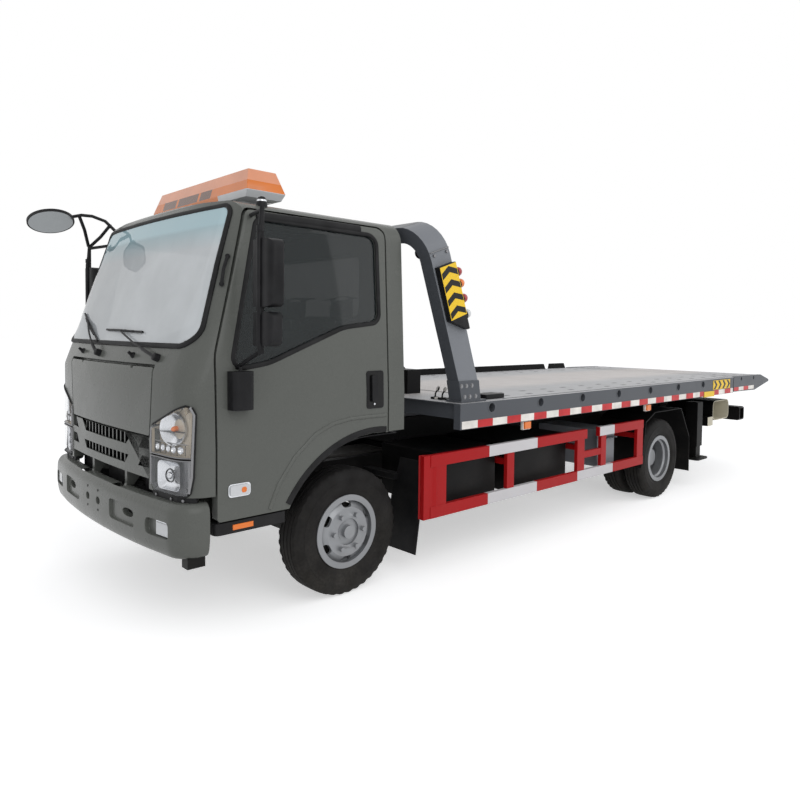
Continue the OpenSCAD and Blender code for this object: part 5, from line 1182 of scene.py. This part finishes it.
def makeBumper():
    look = bumperLook
    half = len(bumperPath(0)) - 1
    rows = len(look["profile"]) - 1
    bm = bmesh.new()
    bmesh.ops.create_grid(bm, x_segments=2 * half, y_segments=rows, size=1)
    paths = [bumperPath(t) for t, z in look["profile"]]
    for vert in bm.verts:
        across = round((vert.co.x + 1) / 2 * 2 * half) - half
        row = round((vert.co.y + 1) / 2 * rows)
        spot = paths[row][abs(across)]
        vert.co = at(spot.x, math.copysign(spot.y, across), look["profile"][row][1])

    def inside(face, window):
        p = face.calc_center_median() - frontAxle
        return p.x > look["pocketFrom"] and window[0] < abs(p.y) < window[1] and window[2] < p.z < window[3]

    def onLedge(vert):
        edge = frontAxle.x + bumperPlan(vert.co.y, look["ridge"][0] - 0.001)
        return vert.co.x < edge and vert.co.z > look["notchFrom"]

    crease = bm.edges.layers.float.new("crease_edge")
    ledge = [f for f in bm.faces if look["notch"][0] < abs(f.calc_center_median().y) < look["notch"][1]
             and all(onLedge(v) for v in f.verts)]
    bmesh.ops.delete(bm, geom=ledge, context="FACES")  # room for the cab's tilt ears

    def sink(window, depth, mat):  # a pocket with narrow rounded rims
        faces = [f for f in bm.faces if inside(f, window)]
        for side in (1, -1):
            region = [f for f in faces if (f.calc_center_median().y > 0) == (side > 0)]
            for thickness, deep in ((0.002, 0.0), (0.003, -depth), (0.002, 0.0)):
                bmesh.ops.inset_region(bm, faces=region, thickness=thickness, depth=deep, use_boundary=True,
                                       use_even_offset=True)
                for edge in {e for f in region for e in f.edges}:
                    if any(f not in region for f in edge.link_faces):
                        edge[crease] = 0.8
            for face in region:
                face.material_index = mat

    bmesh.ops.recalc_face_normals(bm, faces=bm.faces)
    if sum(f.normal.x for f in bm.faces) < 0:
        bmesh.ops.reverse_faces(bm, faces=bm.faces)
    ridge = [z for t, z in look["profile"] if t == look["ridge"][0]]
    for edge in bm.edges:
        if all(abs(v.co.z - z) < 0.0001 for v in edge.verts for z in ridge):
            edge[crease] = look["ridge"][1]
    for pocket in look["pockets"]:
        sink(*pocket)
    shell = finishPiece(bm, "bumperShell", ["cabPaint", "glossBlack"], "chassis", 180,
                        ("front_bumper",), False)
    skin = shell.modifiers.new("skinThickness", "SOLIDIFY")
    skin.thickness = 0.005
    skin.offset = -1
    soft = shell.modifiers.new("softForm", "SUBSURF")
    soft.levels = soft.render_levels = 2
    print("bumper ready")


def sideBoxes(bm, boxes):  # the same boxes on both sides
    for side in (1, -1):
        for (x0, y0, z0), (x1, y1, z1) in boxes:
            boxShape(bm, (x0, side * y0, z0), (x1, side * y1, z1))


def makeBumperFittings():
    look = bumperLook
    bm = bmesh.new()
    sideBoxes(bm, look["mounts"])
    for side in (1, -1):
        for y, z in look["screws"]:
            spot = at(bumperPlan(y, 0) + 0.0005, side * y, z)
            tubeShape(bm, spot - Vector((0.01, 0, 0)), spot + Vector((0.0008, 0, 0)), 0.007)
    finishPiece(bm, "bumperMounts", "blackPaint", "chassis")
    bm = bmesh.new()  # dark skirt under the grille, open where the tilt ears stand
    sideBoxes(bm, look["skirt"])
    finishPiece(bm, "noseSkirt", "blackPlastic", "cab")
    lamps = mergedCopy("chassis_lamps")
    bmesh.ops.delete(lamps, geom=[v for v in lamps.verts if v.co.x > frontAxle.x], context="VERTS")
    for face in lamps.faces:
        face.material_index = int(abs(face.calc_center_median().y) > look["redFrom"])
    for side in (1, -1):
        for a, b, low, high, front, mat in look["fogPanels"]:
            spots = [at(bumperPlan(y, look["fogSunk"]) + front, side * y, z) for y,
                     z in ((a, low), (b, low), (b, high), (a, high))]
            panelShape(lamps, spots, Vector((-front - 0.004, 0, 0)), mat)
    finishPiece(lamps, "chassisLampSet", ["amberLens", "redLens", "whiteLens", "chrome"], "chassis",
                replaces=("chassis_lamps",), bevel=0.003)


makeBumper()
makeBumperFittings()


# windscreen, back window and wipers
screenLook = {"outline": [(-0.935, 1.541, 0.1), (0.935, 1.541, 0.1), (0.868, 2.296, 0.06),
                          (-0.868, 2.296, 0.06)],
              "proud": 0.007, "columns": 44,
              "rows": 18,  # each wiper: foot, joint and the two ends of its blade
              "wipers": [((0.665, 1.476), (0.11, 1.612), (0.41, 1.606), (-0.12, 1.616)),
                         ((-0.127, 1.478), (-0.52, 1.66), (-0.20, 1.545), (-0.72, 1.72))]}


def makeScreen():
    look = screenLook
    cast = fromFront()
    outline = roundCorners(look["outline"], 8)
    bm = bmesh.new()
    bmesh.ops.create_grid(bm, x_segments=look["columns"], y_segments=look["rows"], size=1)
    for vert in bm.verts:  # rows between the lower and the upper edge, each as wide as the outline there
        x0, z0, r0 = look["outline"][1]
        x1, z1, r1 = look["outline"][2]
        share = (vert.co.y + 1) / 2
        z = z0 + (z1 - z0) * share
        reach = x0 + (x1 - x0) * share
        for edge, r in ((z - z0, r0), (z1 - z, r1)):
            if edge < r:
                reach -= r - math.sqrt(max(r * r - (r - edge) ** 2, 0))
        spot, normal = cast((vert.co.x * reach, z))
        vert.co = spot + normal * look["proud"]
    pane = finishPiece(bm, "windscreen", "screenGlass", "cab", 60, ("cab_glass",), False)
    if pane.data.polygons[0].normal.x < 0:
        pane.data.flip_normals()
    rear = mergedCopy("cab_glass")
    bmesh.ops.delete(rear, geom=[v for v in rear.verts if v.co.x > frontAxle.x], context="VERTS")
    finishPiece(rear, "backWindow", "sideGlass", "cab", 40, (), False)
    bm = bmesh.new()

    def lifted(p):  # on the pane, which stands proud of the solid
        spot, normal = cast(p)
        return spot + normal * look["proud"], normal

    ribbonShape(bm, denser(outline, 0.035), lifted, halfRound(0.0135, 0.007, 0.008))
    finishPiece(bm, "screenSeal", "sealRubber", "cab", 50)
    bm = bmesh.new()
    for foot, joint, a, b in look["wipers"]:
        spot, normal = cast(foot)
        turnedShape(bm, [(0, 0.034), (0.012, 0.034), (0.02, 0.03), (0.022, 0.0), (0.022, -0.006)], spot,
                    normal, 24)
        arm = [spot + normal * 0.026]
        for k in range(1, 9):
            here, up = cast(Vector(foot).lerp(Vector(joint), k / 8))
            arm.append(here + up * (0.026 + 0.012 * math.sin(math.pi * k / 8)))
        rodShape(bm, arm[:3], 0.0095, 8)
        rodShape(bm, arm[2:], 0.0055, 8)
        blade = [cast(Vector(a).lerp(Vector(b), k / 10)) for k in range(11)]
        rodShape(bm, [p + n * 0.0155 for p, n in blade], 0.0065, 8)
        rodShape(bm, [p + n * (0.022 + 0.006 * math.sin(math.pi * k / 6)) for k,
                      (p, n) in enumerate(blade[2:9])], 0.005, 8)
    finishPiece(bm, "wiperSet", "blackPlastic", "cab", 50, ("wipers",))
    print("windscreen ready")


# round bars of the mirrors
stayLook = {"tube": 0.0125, "farTube": 0.0115, "clamps": (2.13, 1.72, 1.55),
            "clamp": (0.802, 1.235, 0.014, 0.017),
            "front": [(0.79, 1.235, 2.236), (0.796, 1.235, 2.16), (0.806, 1.235, 2.1), (0.806, 1.235, 1.66),
                      (0.806, 1.235, 1.56),
                      (0.796, 1.235, 1.51)],
            "far": [[(0.985, -1.09, 2.415), (0.9, -1.06, 2.44), (0.83, -1.05, 2.44), (0.75, -1.02, 2.41),
                     (0.66, -0.955, 2.30)],
                    [(0.915, -1.063, 2.436), (0.87, -1.09, 2.34), (0.815, -1.18, 2.235)],
                    [(0.72, -1.0, 2.385), (0.76, -1.09, 2.30), (0.80, -1.19, 2.235)]],
            "barsFrom": (0.803, 2.09), "plateRadius": 0.158}


def makeStays():
    for side, name in sides:
        bm = bmesh.new()
        rodShape(bm, [at(x, side * y, z) for x, y, z in stayLook["front"]], stayLook["tube"], 14)
        x, y, half, r = stayLook["clamp"]
        for z in stayLook["clamps"]:
            tubeShape(bm, at(x, side * y, z - half), at(x, side * y, z + half), r)
        if side < 0:
            for path in stayLook["far"]:
                rodShape(bm, [at(*p) for p in path], stayLook["farTube"], 12)
        finishPiece(bm, "mirrorStay_" + name, "blackPlastic", bodies["mirror_" + name],
                    60)


def farMirror():  # the look-down mirror keeps its plate, the bars are the ones above
    bm = mergedCopy("mirror_right")
    plate = at(*trim["lookDown"])
    x, z = stayLook["barsFrom"]
    bars = [v for v in bm.verts if v.co.x > frontAxle.x + x and v.co.z > z
            and (v.co - plate).length > stayLook["plateRadius"]]
    bmesh.ops.delete(bm, geom=bars, context="VERTS")
    finishPiece(bm, "mirror_rightSkin", "blackPlastic", "right_door", 32,
                ("mirror_right",), False, 0.006)


makeScreen()
makeStays()
farMirror()


# bed: marker tape, signs, lashing rings, lamps and the hoop's fittings
bedTrim = {"side": 1.15, "tapeFrom": -0.775, "tapePitch": 0.16,
           "tapeRuns": [(-0.775, -4.55), (-4.815, -5.325)],
           "tapeZ": (0.978, 1.03), "tailTapeZ": (0.99, 1.033),  # the tail's tape: from, to and 1 for red
           "tailTape": [(-5.354, -5.494, 1), (-5.494, -5.636, 0), (-5.636, -5.783, 1), (-5.783, -5.957, 0)],
           "sign": (-4.785, -5.235, 1.036, 1.134), "signChevrons": 4,
           "bracket": (-4.56, -4.808, 0.966, 1.024),
           "rings": (-1.085, 0.575, 7, 1.105, 0.035), "ringBack": 1.088, "markers": (-1.517, -3.383),
           "markerZ": (0.907, 0.974)}
hoopLook = {"foot": (-0.935, 1.15), "lean": math.radians(19), "half": 0.0925, "lampY": 1.10,
            "lamps": [(0.598, "whiteLens"), (0.707, "redLens"), (0.811, "amberLens"), (0.891, "redLens")],
            "board": (-0.078, 0.078, 0.612, 0.966), "boardFace": 1.15, "chevrons": 4,
            "footBolts": [(-0.808, 1.265), (-0.859, 1.265), (-0.914, 1.265), (-0.842, 1.19), (-0.894, 1.19),
                          (-0.954, 1.19)]}


def onHoop(forward, y, height):  # a place in the leaning plane of the hoop
    c, s = math.cos(hoopLook["lean"]), math.sin(hoopLook["lean"])
    x, z = hoopLook["foot"]
    return at(x + forward * c + height * s, y, z - forward * s + height * c)


def makeBedTape():
    look = bedTrim
    bm = bmesh.new()
    for side in (1, -1):
        inner, outer = side * (look["side"] - 0.002), side * (look["side"] + 0.0015)
        z0, z1 = look["tapeZ"]
        for start, end in look["tapeRuns"]:
            x = start
            while x > end + 0.02:
                index = math.floor((look["tapeFrom"] - x + 0.001) / look["tapePitch"])
                nextX = max(look["tapeFrom"] - (index + 1) * look["tapePitch"], end)
                boxShape(bm, (nextX, inner, z0), (x - 0.001, outer, z1), index % 2)
                x = nextX
        z0, z1 = look["tailTapeZ"]
        for x0, x1, red in look["tailTape"]:
            boxShape(bm, (x1, inner, z0), (x0 - 0.001, outer, z1), red)
    finishPiece(bm, "bedTape", ["tapeWhite", "tapeRed"], "bed")


def makeSigns():  # yellow plates with black chevrons, and the bracket ahead of them
    look = bedTrim
    bm = bmesh.new()
    for side in (1, -1):
        y = side * look["side"]
        x0, x1, z0, z1 = look["sign"]
        boxShape(bm, (x1, y - side * 0.002, z0), (x0, y + side * 0.003, z1))
        step = (x0 - x1) / look["signChevrons"]
        middle = (z0 + z1) / 2
        for k in range(look["signChevrons"]):
            x = x0 - 0.012 - k * step
            shape = [(x, z0 + 0.004), (x - 0.045, z0 + 0.004), (x - 0.095, middle), (x - 0.045, z1 - 0.004),
                     (x, z1 - 0.004),
                     (x - 0.05, middle)]
            panelShape(bm, [at(px, y + side * 0.003, pz) for px, pz in shape], Vector((0, side * 0.0006, 0)),
                       1)
        b0, b1, z0, z1 = look["bracket"]
        boxShape(bm, (b1, y - side * 0.01, z0), (b0, y + side * 0.006, z1))
    finishPiece(bm, "bedSigns", ["yellowPaint", "glossBlack"], "bed")
    bm = bmesh.new()
    low, high, h0, h1 = hoopLook["board"]
    pitch = (h1 - h0) / hoopLook["chevrons"]
    for side in (1, -1):
        face = side * hoopLook["boardFace"]
        corners = ((low, h0), (high, h0), (high, h1), (low, h1))
        panelShape(bm, [onHoop(f, face, h) for f, h in corners], Vector((0, side * 0.002, 0)))
        for k in range(hoopLook["chevrons"]):
            h = h0 + 0.006 + k * pitch
            shape = [(low + 0.004, h), (0, h + pitch * 0.4), (high - 0.004, h),
                     (high - 0.004, h + pitch * 0.46),
                     (0, h + pitch * 0.86), (low + 0.004, h + pitch * 0.46)]
            panelShape(bm, [onHoop(f, face + side * 0.002, q) for f, q in shape],
                       Vector((0, side * 0.0006, 0)), 1)
    finishPiece(bm, "boardSigns", ["yellowPaint", "glossBlack"], "bed")


def makeLashRings():
    first, pitch, count, z, r = bedTrim["rings"]
    rim = [(r - 0.003, -0.05), (r - 0.003, 0.001), (r + 0.004, 0.0025), (r + 0.009, 0.001),
           (r + 0.009, -0.002)]
    bm = bmesh.new()
    for side in (1, -1):
        for k in range(count):
            x = first - k * pitch
            # a disc set back in each hole: white as painted light seen through the hole, gloss black in the first
            turnedShape(bm, [(0, 0.002), (r - 0.001, 0.002), (r - 0.001, 0.0)],
                        at(x, side * bedTrim["ringBack"], z), (0, side, 0), 32,
                        1 if k else 2)
            turnedShape(bm, rim, at(x, side * bedTrim["side"], z), (0, side, 0), 40)
    finishPiece(bm, "lashingRings", ["bedPaint", "whitePaint", "glossBlack"], "bed", 40)


def makeBedLamps():
    bm = bmesh.new()
    names = ["whiteLens", "redLens", "amberLens", "blackPlastic", "tapeWhite"]
    dome = [(0.031, 0.02), (0.032, 0.03), (0.03, 0.045), (0.024, 0.056), (0.014, 0.063), (0, 0.066)]
    back = onHoop(-1, 0, 0) - onHoop(0, 0, 0)
    for side in (1, -1):
        for height, lens in hoopLook["lamps"]:
            spot = onHoop(-hoopLook["half"], side * hoopLook["lampY"], height)
            turnedShape(bm, [(0, 0.0), (0.034, 0.0), (0.034, 0.018), (0.031, 0.02)], spot, back, 32, 3)
            turnedShape(bm, dome, spot, back, 32, names.index(lens))
        z0, z1 = bedTrim["markerZ"]
        for x in bedTrim["markers"]:
            boxShape(bm, (x - 0.045, side * 1.105, z0), (x + 0.045, side * 1.128, z1), 4)
            boxShape(bm, (x - 0.037, side * 1.127, z0 + 0.007), (x + 0.037, side * 1.142, z1 - 0.007), 2)
    finishPiece(bm, "bedLampSet", names, "bed", 40, ("bed_lamps",), bevel=0.003)


def makeHoopFittings():
    bm = bmesh.new()
    for side in (1, -1):
        for x, z in hoopLook["footBolts"]:
            tubeShape(bm, at(x, side * 1.110, z), at(x, side * 1.118, z), 0.0105, sides=6)
            tubeShape(bm, at(x, side * 1.110, z), at(x, side * 1.1135, z), 0.015)
        for f in (-0.06, 0.06):
            spot = onHoop(f, side * 1.104, 1.045)
            tubeShape(bm, spot, spot + Vector((0, side * 0.009, 0)), 0.01, sides=6)
        rodShape(bm, [onHoop(f, side * 1.1045, 1.068) for f in (-0.088, 0.088)], 0.004, 8)
    finishPiece(bm, "hoopBolts", "bareSteel", "bed", 30)
    bm = bmesh.new()
    back = (onHoop(-1, 0, 0) - onHoop(0, 0, 0)).normalized()
    shell = [(0, -0.035), (0.03, -0.035), (0.046, -0.012), (0.05, 0.02), (0.05, 0.034), (0.046, 0.036),
             (0.044, 0.03)]
    knob = [(0, -0.02), (0.009, -0.018), (0.013, 0), (0.009, 0.016), (0, 0.018)]
    for side in (1, -1):
        spot = onHoop(-0.03, side * 0.905, 1.058)
        turnedShape(bm, shell, spot, back, 32)
        turnedShape(bm, [(0.044, 0.03), (0.02, 0.034), (0, 0.035)], spot, back, 32, 1)
        tubeShape(bm, spot, onHoop(-0.03, side * 0.95, 1.105), 0.009)
        for k in range(3):  # levers by the foot
            y = side * (0.79 + 0.07 * k)
            boxShape(bm, (-0.905, y - 0.02, 1.15), (-0.855, y + 0.02, 1.166))
            rodShape(bm, [at(-0.88, y, 1.16), at(-0.885, y, 1.19), at(-0.905, y, 1.215)], 0.006)
            turnedShape(bm, knob, at(-0.91, y, 1.222), (-0.5, 0, 1), 16, 2)
        boxShape(bm, (-1.33, side * 0.935, 1.15), (-1.13, side * 1.06, 1.185))
    finishPiece(bm, "hoopFittings", ["blackPlastic", "whiteLens", "tapeWhite"], "bed",
                bevel=0.002)


for make in (makeBedTape, makeSigns, makeLashRings, makeBedLamps, makeHoopFittings):
    make()
print("bed trim ready")


# seats: cushions swollen by a short cloth run, in place of the plain seat solids
seatLook = {"rows": [(0.48, 0.48, 1), (-0.30, 0.90, 2)], "voxel": 0.012, "shrink": 0.014, "edge": 0.022,
            "cap": 0.024,
            "pressure": 4.0, "frames": 20, "furrow": (0.014, 0.006), "furrowsAt": (-0.12, 0.12),
            "seat": [(-0.255, 1.058, 0.02), (0.372, 1.058, 0.02), (0.388, 1.172, 0.05),
                     (-0.245, 1.146, 0.03)],
            "back": [(-0.272, 1.165, 0.02), (-0.158, 1.165, 0.03), (-0.245, 1.662, 0.04),
                     (-0.318, 1.655, 0.03)],
            "rest": [(-0.290, 1.685, 0.02), (-0.250, 1.685, 0.02), (-0.246, 1.872, 0.03),
                     (-0.300, 1.872, 0.03)], "restHalf": 0.128}


def padMesh(name, outline, y0, y1):
    shrink = seatLook["shrink"]
    middle = Vector((sum(p[0] for p in outline), sum(p[1] for p in outline))) / len(outline)
    corners = [(x - math.copysign(shrink, x - middle.x), z - math.copysign(shrink, z - middle.y), r) for x, z,
               r in outline]
    bm = bmesh.new()
    panelShape(bm, [at(p.x, y0 + shrink, p.y) for p in roundCorners(corners, 5)],
               Vector((0, y1 - y0 - 2 * shrink, 0)))
    bmesh.ops.recalc_face_normals(bm, faces=bm.faces)
    rim = [edge for edge in bm.edges if abs(edge.verts[0].co.y - edge.verts[1].co.y) < 0.001]
    bmesh.ops.bevel(bm, geom=rim, offset=seatLook["edge"], offset_type="OFFSET", segments=3, profile=0.5,
                    affect="EDGES",
                    material=-1)
    mesh = bpy.data.meshes.new(name)
    bm.to_mesh(mesh)
    bm.free()
    obj = bpy.data.objects.new(name, mesh)
    bpy.context.collection.objects.link(obj)
    grid = obj.modifiers.new("evenMesh", "REMESH")
    grid.mode = "VOXEL"
    grid.voxel_size = seatLook["voxel"]
    solid = bpy.data.meshes.new_from_object(obj.evaluated_get(bpy.context.evaluated_depsgraph_get()))
    obj.modifiers.clear()
    obj.data = solid
    return obj


def swell(obj):  # cloth with a little pressure inside, each point held to a short way
    scene = bpy.context.scene
    start = [v.co.copy() for v in obj.data.vertices]
    cloth = obj.modifiers.new("swell", "CLOTH")
    cloth.settings.quality = 4
    cloth.settings.use_pressure = True
    cloth.settings.uniform_pressure_force = seatLook["pressure"]
    cloth.settings.effector_weights.gravity = 0
    for number in range(1, seatLook["frames"] + 1):
        scene.frame_set(number)
    puffed = obj.evaluated_get(bpy.context.evaluated_depsgraph_get()).to_mesh()
    ends = [v.co.copy() for v in puffed.vertices]
    obj.modifiers.clear()
    scene.frame_set(1)
    for vert, a, b in zip(obj.data.vertices, start, ends):
        move = b - a
        if move.length > seatLook["cap"]:
            move *= seatLook["cap"] / move.length
        vert.co = a + move


def sewChannels(obj, lines):  # furrows across the front of a pad at these places
    width, depth = seatLook["furrow"]
    for vert in obj.data.vertices:
        for y in lines:
            off = abs(vert.co.y - y)
            if off < width:
                vert.co -= vert.normal * depth * (1 - off / width) ** 2


def makeSeats():
    look = seatLook
    first = ("seats",)
    for y, width, places in look["rows"]:
        side = "driver" if places == 1 else "double"
        half = width / 2
        pads = [(side + "Seat", look["seat"], y - half, y + half),
                (side + "Back", look["back"], y - half + 0.01, y + half - 0.01)]
        spots = [y] if places == 1 else [y - width / 4, y + width / 4]
        pads += [(side + "Rest" + str(k), look["rest"], s - look["restHalf"], s + look["restHalf"])
                 for k, s in enumerate(spots)]
        for name, outline, y0, y1 in pads:
            pad = padMesh(name, outline, y0, y1)
            swell(pad)
            if "Rest" not in name:
                sewChannels(pad, [s + d for s in spots for d in look["furrowsAt"]])
            pad.data.materials.clear()
            pad.data.materials.append(finishes["seatCloth"])
            for face in pad.data.polygons:
                face.use_smooth = True
            fine = pad.modifiers.new("fine", "SUBSURF")
            fine.levels = fine.render_levels = 1
            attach(pad, "cab")
            if first:
                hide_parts(*first)
                first = ()
        bm = bmesh.new()
        boxShape(bm, (-0.25, y - half + 0.02, 1.03), (0.36, y + half - 0.02, 1.064))
        for s in spots:
            for d in (-0.06, 0.06):
                tubeShape(bm, at(-0.275, s + d, 1.63), at(-0.273, s + d, 1.71), 0.006, mat=1)
        finishPiece(bm, side + "SeatFrame", ["blackPlastic", "chrome"], "cab",
                    bevel=0.004)
    print("seats ready")


makeSeats()
